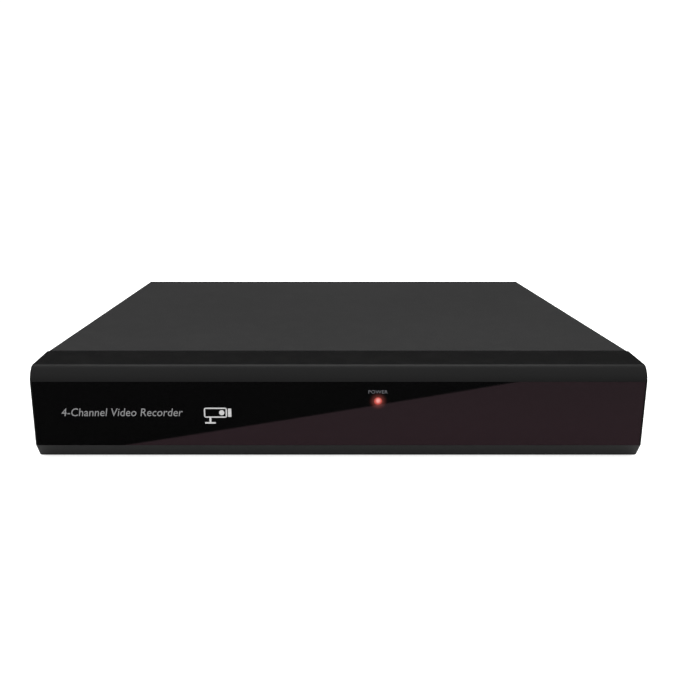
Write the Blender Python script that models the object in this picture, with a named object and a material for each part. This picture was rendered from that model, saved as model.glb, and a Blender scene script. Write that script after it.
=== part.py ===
"""A compact four-input digital video recorder: a folded steel case with a black plastic front
panel, a circuit board with its rear sockets, a 3.5 inch hard disk drive and a small fan.

The frame has its origin on the floor under the middle of the whole object. +Z is up, the front
panel faces -Y, the sockets face +Y, and +X is on the right as seen from the front. All sizes are
in metres.
"""

import math

import bmesh
import bpy
from mathutils import Matrix, Vector

# ---------------------------------------------------------------- driving sizes
WIDTH = 0.255  # front panel, side to side
BODY_DEPTH = 0.220  # front face to the cover's rear face
HEIGHT = 0.042  # floor to the top of the cover
JACK_REACH = 0.012  # video jacks behind the cover's rear face
GAP = 0.0003  # left between two pieces that touch
CUT_CLEAR = 0.0004  # around a socket in its cut-out

# Front panel
PANEL_DEPTH = 0.0216  # face to the cover's front edge
PANEL_WALL = 0.002
PANEL_LIFT = 0.0007  # bottom edge above the floor
TOP_STEP = 0.0001  # top rear edge below the cover's top
TOP_FALL = 0.0014  # top front edge below the cover's top
TOP_SETBACK = 0.0041  # top front edge behind the face
FACE_TOP_DROP = 0.0078  # top of the face below the cover's top
FACE_BOTTOM = 0.0064  # bottom of the face above the floor
BOTTOM_SETBACK = 0.0036  # bottom front edge behind the face
TOP_ROLL = ((0.12, 0.26), (0.29, 0.56), (0.52, 0.81))  # share of the setback, share of the rise
END_RADIUS = 0.0009
WINDOW_THICKNESS = 0.002
WINDOW_END = 0.0010  # rim of the panel beyond each end of the window
WINDOW_EDGE = 0.0001  # and above and below it
HOOK_SPACING = 0.090
HOOK_WIDTH = 0.008
HOOK_THICKNESS = 0.0016
HOOK_BARB = 0.0008
HOOK_REACH = 0.0024  # past the tray's front wall

# Power light and remote receiver, from the middle of the panel and above the floor
LENS_X = 0.0164
LENS_Z = 0.0258
LENS_RADIUS = 0.0016
LENS_FLANGE_RADIUS = 0.0026
RECEIVER_X = 0.030
RECEIVER_SIZE = (0.0062, 0.0052, 0.0072)
RECEIVER_WINDOW = 0.009
LIGHT_BOARD_SIZE = (0.056, 0.0016, 0.020)
LIGHT_BOARD_SETBACK = 0.0125  # front of the small board behind the face
LIGHT_POST_INSET = 0.005  # panel's posts from the small board's ends
LIGHT_POST_RADIUS = 0.0022
LIGHT_PIN_RADIUS = 0.0011
LED_RADIUS = 0.0015
LED_HEIGHT = 0.0032

# Folded steel case
COVER_SHEET = 0.0008
COVER_INSET = 0.0005  # cover's side inside the panel's end
COVER_BEND = 0.0012
COVER_LIP = 0.008  # rear lip, down from the top
TRAY_SHEET = 0.001
TRAY_SIDE_GAP = 0.0018  # cover's side wall to the tray's side wall
TRAY_HEADROOM = 0.0006  # tray's walls below the cover's top sheet
TRAY_SIDE_HEIGHT = 0.012
TRAY_FLANGE = 0.006
FOOT_HEIGHT = 0.0045
FOOT_RADIUS = 0.0075
FOOT_INSET_X = 0.024
FOOT_INSET_Y = 0.020
FOOT_PIN_RADIUS = 0.0025
VENT_COUNT = 13
VENT_PITCH = 0.0054
VENT_WIDTH = 0.0026
VENT_LOW = 0.0185
VENT_HIGH = 0.0345
FLOOR_VENT_COUNT = 9
FLOOR_VENT_PITCH = 0.008
FLOOR_VENT_SIZE = (0.003, 0.034)

# Screws
SCREW_RADIUS = 0.0013
SCREW_HOLE = 0.0016
SCREW_HEAD_RADIUS = 0.0028
SCREW_HEAD = 0.0016
SCREW_RECESS = 0.0008
SCREW_RECESS_ARM = 0.0016
SCREW_RECESS_WIDTH = 0.0007
REAR_SCREW_SPACING = 0.110
REAR_SCREW_LENGTH = 0.005
SIDE_SCREW_Z = 0.0105
SIDE_SCREW_FROM_REAR = 0.060
SIDE_SCREW_FROM_FRONT = 0.018
SIDE_SCREW_LENGTH = 0.0045
DIMPLE_RADIUS = 0.0036
DIMPLE_DEPTH = 0.0015
DIMPLE_WALL = 0.0008

# Main board and its rear sockets. A socket's x is measured from the board's middle.
BOARD_WIDTH = 0.236
BOARD_DRIVE_GAP = 0.0039  # between the board and the disk drive in front of it
BOARD_THICKNESS = 0.0016
BOARD_WALL_GAP = 0.001
STANDOFF_HEIGHT = 0.004
STANDOFF_RADIUS = 0.003
BOARD_SCREW_INSET = 0.006
VIDEO_PITCH = 0.018
VIDEO_FIRST_X = 0.099
VIDEO_AXIS = 0.009  # above the board
VIDEO_BLOCK = (0.0144, 0.0117, 0.0146)
VIDEO_NECK_RADIUS = 0.0061
VIDEO_NECK_LENGTH = 0.0034
VIDEO_BARREL_RADIUS = 0.0048
VIDEO_BORE_RADIUS = 0.00405
VIDEO_POST_RADIUS = 0.0023
VIDEO_CONTACT_RADIUS = 0.0007
VIDEO_LUG_RADIUS = 0.001
VIDEO_LUG_REACH = 0.0056
NUT_ACROSS_FLATS = 0.0143
NUT_THICKNESS = 0.0022
AUDIO_X = 0.0295
AUDIO_BLOCK = (0.011, 0.0117, 0.021)
AUDIO_AXES = (0.0055, 0.0153)
AUDIO_BARREL_RADIUS = 0.00415
AUDIO_BARREL_LENGTH = 0.0088
AUDIO_PIN_RADIUS = 0.0017
MONITOR_X = 0.003
MONITOR_BLOCK = (0.0308, 0.0087, 0.0125)
MONITOR_SHELL = (0.0164, 0.0084)
MONITOR_SHELL_REACH = 0.0058
MONITOR_SCREW_SPACING = 0.025
JACKSCREW_ACROSS_FLATS = 0.0048
JACKSCREW_LENGTH = 0.0052
DIGITAL_X = -0.026
DIGITAL_SHELL = (0.0150, 0.0116, 0.0062)
DIGITAL_OPENING = (0.0140, 0.0092, 0.0046)
DIGITAL_TONGUE = (0.0110, 0.0070, 0.0011)
NETWORK_X = -0.050
NETWORK_SHELL = (0.0160, 0.0206, 0.0134)
NETWORK_OPENING = (0.0118, 0.0150, 0.0072)
NETWORK_LATCH = (0.0062, 0.0150, 0.0022)
PORT_X = -0.0735
PORT_SHELL = (0.0146, 0.0176, 0.0158)
PORT_OPENING = (0.0126, 0.0120, 0.0052)
PORT_TONGUE = (0.0106, 0.0090, 0.0018)
PORT_ROWS = (0.0044, 0.0114)
POWER_X = -0.0965
POWER_SHELL = (0.0094, 0.0141, 0.0110)
POWER_AXIS = 0.0061
POWER_BORE_RADIUS = 0.00315
POWER_BORE_DEPTH = 0.0096
POWER_PIN_RADIUS = 0.001
SOCKET_PROUD = 0.0006  # socket shells past the rear wall

# Parts on the main board, placed from its middle
PROCESSOR = ((0.020, -0.004), (0.021, 0.021, 0.0014))
HEAT_SINK = (0.030, 0.030, 0.011)
HEAT_SINK_BASE = 0.003
HEAT_SINK_SLOTS = 5
HEAT_SINK_FIN = 0.0022
COIN_CELL_AT = (-0.058, -0.012)
COIN_CELL_RADIUS = 0.010
COIN_CELL_THICKNESS = 0.0032
COIN_CELL_WALL = 0.0015
COIN_CELL_FLOOR = 0.0012
BUZZER_AT = (-0.094, -0.016)
BUZZER_RADIUS = 0.006
BUZZER_HEIGHT = 0.0085
BUZZER_HOLE = 0.001
PANEL_PLUG_AT = (0.040, -0.034)
FAN_PLUG_AT = (0.104, -0.034)
HEADER_SIZE = (0.0175, 0.0072, 0.0060)
DATA_HEADER_AT = (0.062, -0.031)
POWER_HEADER_AT = (0.086, -0.031)
PLUG_SIZE = (0.0145, 0.0042, 0.0085)
PLUG_DEPTH = 0.0035  # of a plug inside its header
DRIVE_PLUG = (0.0085, 0.0145, 0.0056)
SMALL_PLUG = (0.0050, 0.0040, 0.0055)

# Hard disk drive: its own frame has x along its length, with the sockets at +x
DRIVE_LENGTH = 0.147
DRIVE_WIDTH = 0.1016
DRIVE_HEIGHT = 0.0261
DRIVE_LIFT = 0.0025  # above the tray's floor
DRIVE_MARGIN_X = 0.0055
DRIVE_MARGIN_Y = 0.0045
DRIVE_BOSS_RADIUS = 0.004
DRIVE_SCREW_FROM_END = (0.04128, 0.08573)
DRIVE_SCREW_ACROSS = 0.09525
DRIVE_SCREW_DEPTH = 0.0035
DRIVE_LID = 0.0012
DRIVE_FLOOR = 0.006
DRIVE_RECESS = 0.003
DRIVE_RAIL = 0.0088
DRIVE_BOARD_THICKNESS = 0.0016
DRIVE_SOCKET = (0.0075, 0.042, 0.0052)
DRIVE_SOCKET_INSET = 0.0108  # socket's end from the drive's side
SPINDLE_FROM_END = 0.051
PLATTER_RADIUS = 0.0475
PLATTER_CLEAR = 0.0017
PLATTER_THICKNESS = 0.0013
PLATTER_LEVELS = (0.0100, 0.0160)
HUB_RADIUS = 0.0125
HUB_TOP = 0.0212
PIVOT_OFFSET = (0.0515, 0.024)  # from the spindle
PIVOT_RADIUS = 0.006
PIVOT_TOP = 0.0222
ARM_LENGTH = 0.050
ARM_PARK_ANGLE = 259.6  # degrees, from the drive's +x
ARM_ROOT = 0.0048
ARM_TIP = 0.0016
ARM_THICKNESS = 0.001
ARM_LEVELS = (0.0132, 0.0188)
COIL_RADIUS = 0.018
COIL_HALF_WIDTH = 0.0070
COIL_LEVEL = (0.0120, 0.0160)
MAGNET_REACH = (0.0098, 0.0200, 0.0216)
MAGNET_ANGLES = (28.0, 98.0)
MAGNET_LEVELS = (0.0064, 0.0090, 0.0180, 0.0205)

# Fan on the right-hand side wall
FAN_SIZE = 0.030
FAN_DEPTH = 0.010
FAN_BORE_RADIUS = 0.0138
FAN_FROM_FRONT = 0.063  # fan's middle behind the tray's front wall
FAN_FLOOR_GAP = 0.0005
FAN_SCREW_SPACING = 0.024
FAN_HUB_RADIUS = 0.0066
FAN_TIP_CLEAR = 0.0007
FAN_BLADES = 7
FAN_TAB_WIDTH = 0.034

# Cables held inside the case
DATA_CABLE_DIAMETER = 0.0042
POWER_CABLE_DIAMETER = 0.0036
PANEL_CABLE_DIAMETER = 0.0024
PANEL_CABLE_OFFSET = (0.0178, -0.004)  # its hole from the lens
FAN_CABLE_DIAMETER = 0.0018

# ---------------------------------------------------------------- places worked out from them
Y_FRONT = -(BODY_DEPTH + JACK_REACH) / 2
Y_REAR = Y_FRONT + BODY_DEPTH
FACE_TOP = HEIGHT - FACE_TOP_DROP
PANEL_REAR = Y_FRONT + PANEL_DEPTH
CAVITY_FRONT = Y_FRONT + WINDOW_THICKNESS + GAP + PANEL_WALL
CAVITY_TOP = HEIGHT - TOP_FALL - PANEL_WALL
CAVITY_BOTTOM = PANEL_LIFT + PANEL_WALL
COVER_FRONT = PANEL_REAR + GAP
COVER_HALF = WIDTH / 2 - COVER_INSET
COVER_LOW = FOOT_HEIGHT
TRAY_HALF = COVER_HALF - COVER_SHEET - TRAY_SIDE_GAP
TRAY_INNER_HALF = TRAY_HALF - TRAY_SHEET
TRAY_FRONT = PANEL_REAR + GAP
TRAY_INNER_FRONT = TRAY_FRONT + TRAY_SHEET
WALL_Y = Y_REAR - COVER_SHEET - GAP  # outer face of the tray's rear wall
TRAY_INNER_REAR = WALL_Y - TRAY_SHEET
TRAY_FLOOR = FOOT_HEIGHT + TRAY_SHEET
TRAY_TOP = HEIGHT - COVER_SHEET - TRAY_HEADROOM
REAR_SCREW_Z = HEIGHT - COVER_LIP / 2 - COVER_SHEET / 2
BOARD_LOW = TRAY_FLOOR + STANDOFF_HEIGHT + GAP
BOARD_TOP = BOARD_LOW + BOARD_THICKNESS
BOARD_REAR = TRAY_INNER_REAR - BOARD_WALL_GAP
SOCKET_Z = BOARD_TOP + GAP
DRIVE_X = -TRAY_INNER_HALF + DRIVE_MARGIN_X + DRIVE_LENGTH / 2
DRIVE_Y = TRAY_INNER_FRONT + DRIVE_MARGIN_Y + DRIVE_WIDTH / 2
DRIVE_Z = TRAY_FLOOR + DRIVE_LIFT
BOARD_DEPTH = BOARD_REAR - (DRIVE_Y + DRIVE_WIDTH / 2 + BOARD_DRIVE_GAP)
BOARD_Y = BOARD_REAR - BOARD_DEPTH / 2
SPINDLE = Vector((SPINDLE_FROM_END - DRIVE_LENGTH / 2, 0, 0))
PIVOT = SPINDLE + Vector((*PIVOT_OFFSET, 0))
DRIVE_SOCKET_Y = -DRIVE_WIDTH / 2 + DRIVE_SOCKET_INSET  # near end of the drive's socket
FAN_X = TRAY_INNER_HALF - GAP - FAN_DEPTH / 2
FAN_Y = TRAY_FRONT + FAN_FROM_FRONT
FAN_Z = TRAY_FLOOR + FAN_FLOOR_GAP + FAN_SIZE / 2
SIDE_SCREW_YS = (COVER_FRONT + SIDE_SCREW_FROM_FRONT, Y_REAR - SIDE_SCREW_FROM_REAR)
VENT_Y = FAN_Y  # the rows of side vents are centred on the fan
LIGHT_BOARD_FRONT = Y_FRONT + LIGHT_BOARD_SETBACK
PANEL_CABLE_HOLE = (LENS_X + PANEL_CABLE_OFFSET[0], LENS_Z + PANEL_CABLE_OFFSET[1])

ROUND = 16  # sides of a small round piece
SMOOTH = 30  # sides of a larger one
DISK_SIDES = 40
SHARP_ANGLE = math.radians(35)


# ---------------------------------------------------------------- materials
def make_material(name, colour, roughness, metallic=0.0):
    material = bpy.data.materials.new(name)
    material.use_nodes = True
    shader = material.node_tree.nodes["Principled BSDF"]
    shader.inputs["Base Color"].default_value = (*colour, 1.0)
    shader.inputs["Roughness"].default_value = roughness
    shader.inputs["Metallic"].default_value = metallic
    material.diffuse_color = (*colour, 1.0)
    return material


def make_materials():
    return {
        "painted_steel": make_material("painted_steel", (0.045, 0.045, 0.047), 0.55),
        "zinc_steel": make_material("zinc_steel", (0.62, 0.63, 0.62), 0.42, 1.0),
        "panel_plastic": make_material("panel_plastic", (0.018, 0.018, 0.019), 0.30),
        "window_plastic": make_material("window_plastic", (0.012, 0.006, 0.008), 0.08),
        "lens_red": make_material("lens_red", (0.75, 0.05, 0.03), 0.20),
        "rubber": make_material("rubber", (0.022, 0.022, 0.022), 0.85),
        "black_steel": make_material("black_steel", (0.06, 0.06, 0.06), 0.38, 1.0),
        "nickel": make_material("nickel", (0.72, 0.70, 0.66), 0.25, 1.0),
        "black_plastic": make_material("black_plastic", (0.025, 0.025, 0.026), 0.50),
        "blue_plastic": make_material("blue_plastic", (0.03, 0.09, 0.32), 0.50),
        "white_plastic": make_material("white_plastic", (0.72, 0.71, 0.66), 0.50),
        "circuit_board": make_material("circuit_board", (0.02, 0.16, 0.07), 0.45),
        "chip": make_material("chip", (0.03, 0.03, 0.03), 0.55),
        "aluminium": make_material("aluminium", (0.70, 0.71, 0.72), 0.35, 1.0),
        "platter": make_material("platter", (0.80, 0.80, 0.80), 0.08, 1.0),
        "cable_red": make_material("cable_red", (0.45, 0.03, 0.02), 0.50),
        "cable_black": make_material("cable_black", (0.02, 0.02, 0.02), 0.55),
    }


# ---------------------------------------------------------------- shapes
def add_box(bm, low, high):
    corners = bmesh.ops.create_cube(bm, size=1.0)["verts"]
    size = [b - a for a, b in zip(low, high)]
    middle = [(a + b) / 2 for a, b in zip(low, high)]
    bmesh.ops.scale(bm, vec=size, verts=corners)
    bmesh.ops.translate(bm, vec=middle, verts=corners)


def add_block(bm, middle, size):
    """A box from its middle and its size."""
    half = [s / 2 for s in size]
    low = [m - h for m, h in zip(middle, half)]
    high = [m + h for m, h in zip(middle, half)]
    add_box(bm, low, high)


# The two directions that an outline's points are measured along, for each direction of extrusion.
OUTLINE_AXES = {"X": (1, 2), "Y": (0, 2), "Z": (0, 1)}


def add_prism(bm, outline, axis, start, end):
    """An outline extruded along an axis from start to end."""
    along = "XYZ".index(axis)
    first, second = OUTLINE_AXES[axis]
    ring = []
    for a, b in outline:
        place = [0.0, 0.0, 0.0]
        place[along], place[first], place[second] = start, a, b
        ring.append(bm.verts.new(place))
    face = bm.faces.new(ring)
    extruded = bmesh.ops.extrude_face_region(bm, geom=[face])["geom"]
    moved = [item for item in extruded if isinstance(item, bmesh.types.BMVert)]
    shift = [0.0, 0.0, 0.0]
    shift[along] = end - start
    bmesh.ops.translate(bm, vec=shift, verts=moved)


def circle(radius, sides, centre=(0.0, 0.0), turn=0.0):
    step = 2 * math.pi / sides
    return [
        (
            centre[0] + radius * math.cos(turn + step * i),
            centre[1] + radius * math.sin(turn + step * i),
        )
        for i in range(sides)
    ]


def add_cylinder(bm, centre, radius, axis, start, end, sides=ROUND):
    """A round bar along an axis; centre is given in the two other directions."""
    add_prism(bm, circle(radius, sides, centre), axis, start, end)


SPIN_AXES = {"Y": (0, 1, 0), "Z": (0, 0, 1), "X": (1, 0, 0)}


def add_turned(bm, profile, axis, centre=(0, 0, 0), sides=ROUND, closed=False):
    """A profile of (radius, distance along the axis) points, spun about the axis through centre."""
    centre = Vector(centre)
    direction = Vector(SPIN_AXES[axis])
    outward = Vector((0, 0, 1)) if axis != "Z" else Vector((1, 0, 0))
    line = [bm.verts.new(centre + outward * r + direction * t) for r, t in profile]
    edges = [bm.edges.new(pair) for pair in zip(line, line[1:])]
    if closed:
        edges.append(bm.edges.new((line[-1], line[0])))
    before = set(bm.verts) - set(line)
    bmesh.ops.spin(
        bm, geom=line + edges, cent=centre, axis=direction, angle=2 * math.pi, steps=sides
    )
    made = [v for v in bm.verts if v not in before]
    bmesh.ops.remove_doubles(bm, verts=made, dist=1e-7)


def mesh_of(name, bm):
    bmesh.ops.recalc_face_normals(bm, faces=bm.faces)
    mesh = bpy.data.meshes.new(name)
    bm.to_mesh(mesh)
    bm.free()
    return mesh


def make_piece(name, bm, material, parent, location=(0, 0, 0)):
    """A named piece with its own material, placed under its parent."""
    mesh = bm if isinstance(bm, bpy.types.Mesh) else mesh_of(name, bm)
    piece = bpy.data.objects.new(name, mesh)
    if not mesh.materials:
        mesh.materials.append(material)
    mesh.shade_smooth()
    mesh.set_sharp_from_angle(angle=SHARP_ANGLE)
    bpy.context.scene.collection.objects.link(piece)
    piece.parent = parent
    piece.location = location
    return piece


def combine(piece, operation, bm, label):
    """Adds a Boolean that cuts the shapes in bm from a piece, or joins them to it."""
    tool = bpy.data.objects.new(f"{piece.name}_{label}", mesh_of(label, bm))
    bpy.context.scene.collection.objects.link(tool)
    tool.parent = piece
    tool.hide_render = True
    tool.display_type = "WIRE"
    modifier = piece.modifiers.new(label, "BOOLEAN")
    modifier.operation = operation
    modifier.solver = "EXACT"
    modifier.object = tool


def cut(piece, bm, label):
    combine(piece, "DIFFERENCE", bm, label)


def unite(piece, bm, label):
    combine(piece, "UNION", bm, label)


def settle(piece):
    """Makes a piece's modifiers part of its mesh, so that copies can share the mesh."""
    bpy.context.view_layer.update()
    graph = bpy.context.evaluated_depsgraph_get()
    mesh = bpy.data.meshes.new_from_object(piece.evaluated_get(graph), depsgraph=graph)
    for modifier in list(piece.modifiers):
        bpy.data.objects.remove(modifier.object)
        piece.modifiers.remove(modifier)
    piece.data = mesh
    return mesh


def make_frame(name, parent=None, location=(0, 0, 0)):
    frame = bpy.data.objects.new(name, None)
    bpy.context.scene.collection.objects.link(frame)
    frame.parent = parent
    frame.location = location
    return frame


def bevel_edges(bm, radius, segments, wanted):
    edges = [edge for edge in bm.edges if wanted(*(v.co for v in edge.verts))]
    bmesh.ops.bevel(
        bm, geom=edges, offset=radius, segments=segments, profile=0.5, affect="EDGES"
    )


# ---------------------------------------------------------------- front panel
def hook_prism(x, top):
    """One snap hook, as an outline in Y and Z with its two ends: a root on the panel's inner
    wall, a tongue through the tray's front wall, and a barb behind that wall."""
    tip = TRAY_INNER_FRONT + HOOK_REACH
    behind = TRAY_INNER_FRONT + GAP
    root = PANEL_REAR - 0.006
    web = root + 2 * HOOK_THICKNESS
    if top:
        high = CAVITY_TOP - HOOK_THICKNESS
        low = high - HOOK_THICKNESS
        wall = CAVITY_TOP + PANEL_WALL / 4
        outline = [(root, low), (behind, low), (behind, low - HOOK_BARB), (tip, low)]
        outline += [(tip, high), (web, high), (web, wall), (root, wall)]
    else:
        low = TRAY_FLOOR + HOOK_THICKNESS
        high = low + HOOK_THICKNESS
        wall = CAVITY_BOTTOM - PANEL_WALL / 4
        outline = [(root, wall), (web, wall), (web, low), (tip, low)]
        outline += [(tip, high), (behind, high + HOOK_BARB), (behind, high), (root, high)]
    return outline, "X", x - HOOK_WIDTH / 2, x + HOOK_WIDTH / 2


def panel_outline():
    """The panel's side view: an upright face, a rolled top edge and a chamfered bottom edge."""
    top = HEIGHT - TOP_FALL
    roll = [
        (Y_FRONT + TOP_SETBACK * back, FACE_TOP + (top - FACE_TOP) * rise)
        for back, rise in TOP_ROLL
    ]
    return [
        (Y_FRONT, FACE_BOTTOM),
        (Y_FRONT, FACE_TOP),
        *roll,
        (Y_FRONT + TOP_SETBACK, top),
        (PANEL_REAR, HEIGHT - TOP_STEP),
        (PANEL_REAR, PANEL_LIFT),
        (Y_FRONT + BOTTOM_SETBACK, PANEL_LIFT),
    ]


def build_front_panel(materials, root):
    half = WIDTH / 2
    near = 1e-6

    def around_an_end(a, b):
        on_end = abs(abs(a.x) - half) < near and abs(a.x - b.x) < near
        return on_end and min(a.y, b.y) < PANEL_REAR - near

    bm = bmesh.new()
    add_prism(bm, panel_outline(), "X", -half, half)
    bevel_edges(bm, END_RADIUS, 3, around_an_end)
    panel = make_piece("front_panel", bm, materials["panel_plastic"], root)

    cavity = bmesh.new()
    inside = half - PANEL_WALL
    behind = PANEL_REAR + PANEL_WALL
    add_box(cavity, (-inside, CAVITY_FRONT, CAVITY_BOTTOM), (inside, behind, CAVITY_TOP))
    cut(panel, cavity, "cavity")
    recess = bmesh.new()
    recess_end = half - WINDOW_END
    low, high = FACE_BOTTOM + WINDOW_EDGE, FACE_TOP - WINDOW_EDGE
    seat = Y_FRONT + WINDOW_THICKNESS + GAP
    add_box(recess, (-recess_end, Y_FRONT - PANEL_WALL, low), (recess_end, seat, high))
    cut(panel, recess, "window_recess")

    inner = bmesh.new()
    for x in (-HOOK_SPACING, 0, HOOK_SPACING):
        add_prism(inner, *hook_prism(x, top=True))
        add_prism(inner, *hook_prism(x, top=False))
    for side in (-1, 1):
        x = LENS_X + side * (LIGHT_BOARD_SIZE[0] / 2 - LIGHT_POST_INSET)
        add_turned(inner, light_post_profile(), "Y", (x, 0, LENS_Z))
    unite(panel, inner, "hooks_and_posts")

    holes = bmesh.new()
    start, end = seat - PANEL_WALL / 2, CAVITY_FRONT + PANEL_WALL / 2
    add_cylinder(holes, (LENS_X, LENS_Z), LENS_RADIUS + GAP, "Y", start, end)
    half_window = RECEIVER_WINDOW / 2
    add_box(
        holes,
        (RECEIVER_X - half_window, start, LENS_Z - half_window),
        (RECEIVER_X + half_window, end, LENS_Z + half_window),
    )
    cut(panel, holes, "light_holes")

    window = bmesh.new()
    add_box(
        window,
        (-recess_end + GAP, Y_FRONT, low + GAP),
        (recess_end - GAP, Y_FRONT + WINDOW_THICKNESS, high - GAP),
    )
    bevel_edges(window, GAP, 1, lambda a, b: max(a.y, b.y) < Y_FRONT + near)
    plate = make_piece("front_window", window, materials["window_plastic"], root)
    lens_hole = bmesh.new()
    add_cylinder(lens_hole, (LENS_X, LENS_Z), LENS_RADIUS + GAP, "Y", Y_FRONT - 0.001, end)
    cut(plate, lens_hole, "lens_hole")


def light_post_profile():
    """A post on the panel's wall with a heat-staked pin through the small board, from the
    origin of the frame along +Y."""
    board_front = LIGHT_BOARD_FRONT - GAP
    board_rear = LIGHT_BOARD_FRONT + LIGHT_BOARD_SIZE[1] + GAP
    return [
        (0, CAVITY_FRONT - PANEL_WALL / 2),
        (LIGHT_POST_RADIUS, CAVITY_FRONT - PANEL_WALL / 2),
        (LIGHT_POST_RADIUS, board_front),
        (LIGHT_PIN_RADIUS, board_front),
        (LIGHT_PIN_RADIUS, board_rear),
        (LIGHT_POST_RADIUS, board_rear),
        (LIGHT_POST_RADIUS * 0.7, board_rear + LIGHT_PIN_RADIUS),
        (0, board_rear + LIGHT_PIN_RADIUS),
    ]


def build_power_light(materials, root):
    """The red lens and its lamp, the remote receiver, and the small board that carries them."""
    led_front = LIGHT_BOARD_FRONT - GAP - LED_HEIGHT
    lens = bmesh.new()
    flange = CAVITY_FRONT + GAP
    dome = LENS_RADIUS * 0.25
    profile = [
        (0, Y_FRONT),
        (LENS_RADIUS * 0.7, Y_FRONT + dome / 2),
        (LENS_RADIUS, Y_FRONT + dome * 2),
        (LENS_RADIUS, flange),
        (LENS_FLANGE_RADIUS, flange),
        (LENS_FLANGE_RADIUS, flange + 0.001),
        (LENS_RADIUS, flange + 0.001),
        (LENS_RADIUS, led_front - GAP),
        (0, led_front - GAP),
    ]
    add_turned(lens, profile, "Y", (LENS_X, 0, LENS_Z))
    make_piece("power_lens", lens, materials["lens_red"], root)

    lamp = bmesh.new()
    profile = [
        (0, led_front),
        (LED_RADIUS * 0.7, led_front + LED_RADIUS * 0.3),
        (LED_RADIUS, led_front + LED_RADIUS),
        (LED_RADIUS, LIGHT_BOARD_FRONT - GAP),
        (0, LIGHT_BOARD_FRONT - GAP),
    ]
    add_turned(lamp, profile, "Y", (LENS_X, 0, LENS_Z), sides=16)
    make_piece("power_led", lamp, materials["lens_red"], root)

    length, thick, tall = LIGHT_BOARD_SIZE
    board = bmesh.new()
    middle = (LENS_X, LIGHT_BOARD_FRONT + thick / 2, LENS_Z)
    add_block(board, middle, LIGHT_BOARD_SIZE)
    carrier = make_piece("light_board", board, materials["circuit_board"], root)
    holes = bmesh.new()
    for side in (-1, 1):
        x = LENS_X + side * (length / 2 - LIGHT_POST_INSET)
        centre = (x, LENS_Z)
        start, end = LIGHT_BOARD_FRONT - thick, LIGHT_BOARD_FRONT + 2 * thick
        add_cylinder(holes, centre, LIGHT_PIN_RADIUS + GAP, "Y", start, end, 10)
    cut(carrier, holes, "pin_holes")

    receiver = bmesh.new()
    wide, deep, high = RECEIVER_SIZE
    front = LIGHT_BOARD_FRONT - GAP - deep
    add_box(
        receiver,
        (RECEIVER_X - wide / 2, front, LENS_Z - high / 2),
        (RECEIVER_X + wide / 2, front + deep, LENS_Z + high / 2),
    )
    bevel_edges(receiver, 0.001, 2, lambda a, b: max(a.y, b.y) < front + 1e-6)
    make_piece("remote_receiver", receiver, materials["black_plastic"], root)


# ---------------------------------------------------------------- folded steel case
def socket_openings():
    """The outlines, in X and Z, that the rear wall is cut by: one for each socket."""
    wall = []
    for index in range(4):
        x = VIDEO_FIRST_X - index * VIDEO_PITCH
        centre = (x, SOCKET_Z + VIDEO_AXIS)
        wall.append(circle(VIDEO_NECK_RADIUS + GAP, ROUND, centre))
    for level in AUDIO_AXES:
        centre = (AUDIO_X, SOCKET_Z + level)
        wall.append(circle(AUDIO_BARREL_RADIUS + CUT_CLEAR, ROUND, centre))
    shell_wide, shell_high = MONITOR_SHELL
    middle = SOCKET_Z + MONITOR_BLOCK[2] / 2
    clear = 2 * CUT_CLEAR
    wall.append(d_outline(shell_wide + clear, shell_high + clear, (MONITOR_X, middle)))
    for side in (-1, 1):
        centre = (MONITOR_X + side * MONITOR_SCREW_SPACING / 2, middle)
        wall.append(circle(SCREW_HOLE, 12, centre))
    for x, shell in (
        (DIGITAL_X, DIGITAL_SHELL),
        (NETWORK_X, NETWORK_SHELL),
        (PORT_X, PORT_SHELL),
        (POWER_X, POWER_SHELL),
    ):
        wide, high = shell[0] / 2 + CUT_CLEAR, shell[2]
        low = SOCKET_Z - CUT_CLEAR
        top = SOCKET_Z + high + CUT_CLEAR
        wall.append([(x - wide, low), (x + wide, low), (x + wide, top), (x - wide, top)])
    return wall


def d_outline(wide, high, centre):
    """The D shape of a monitor plug: the top is wider than the bottom."""
    x, z = centre
    half, tall, lean = wide / 2, high / 2, high * 0.18
    corner = high * 0.2
    return [
        (x - half + lean + corner, z - tall),
        (x + half - lean - corner, z - tall),
        (x + half - lean, z - tall + corner),
        (x + half, z + tall - corner),
        (x + half - corner, z + tall),
        (x - half + corner, z + tall),
        (x - half, z + tall - corner),
        (x - half + lean, z - tall + corner),
    ]


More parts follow.
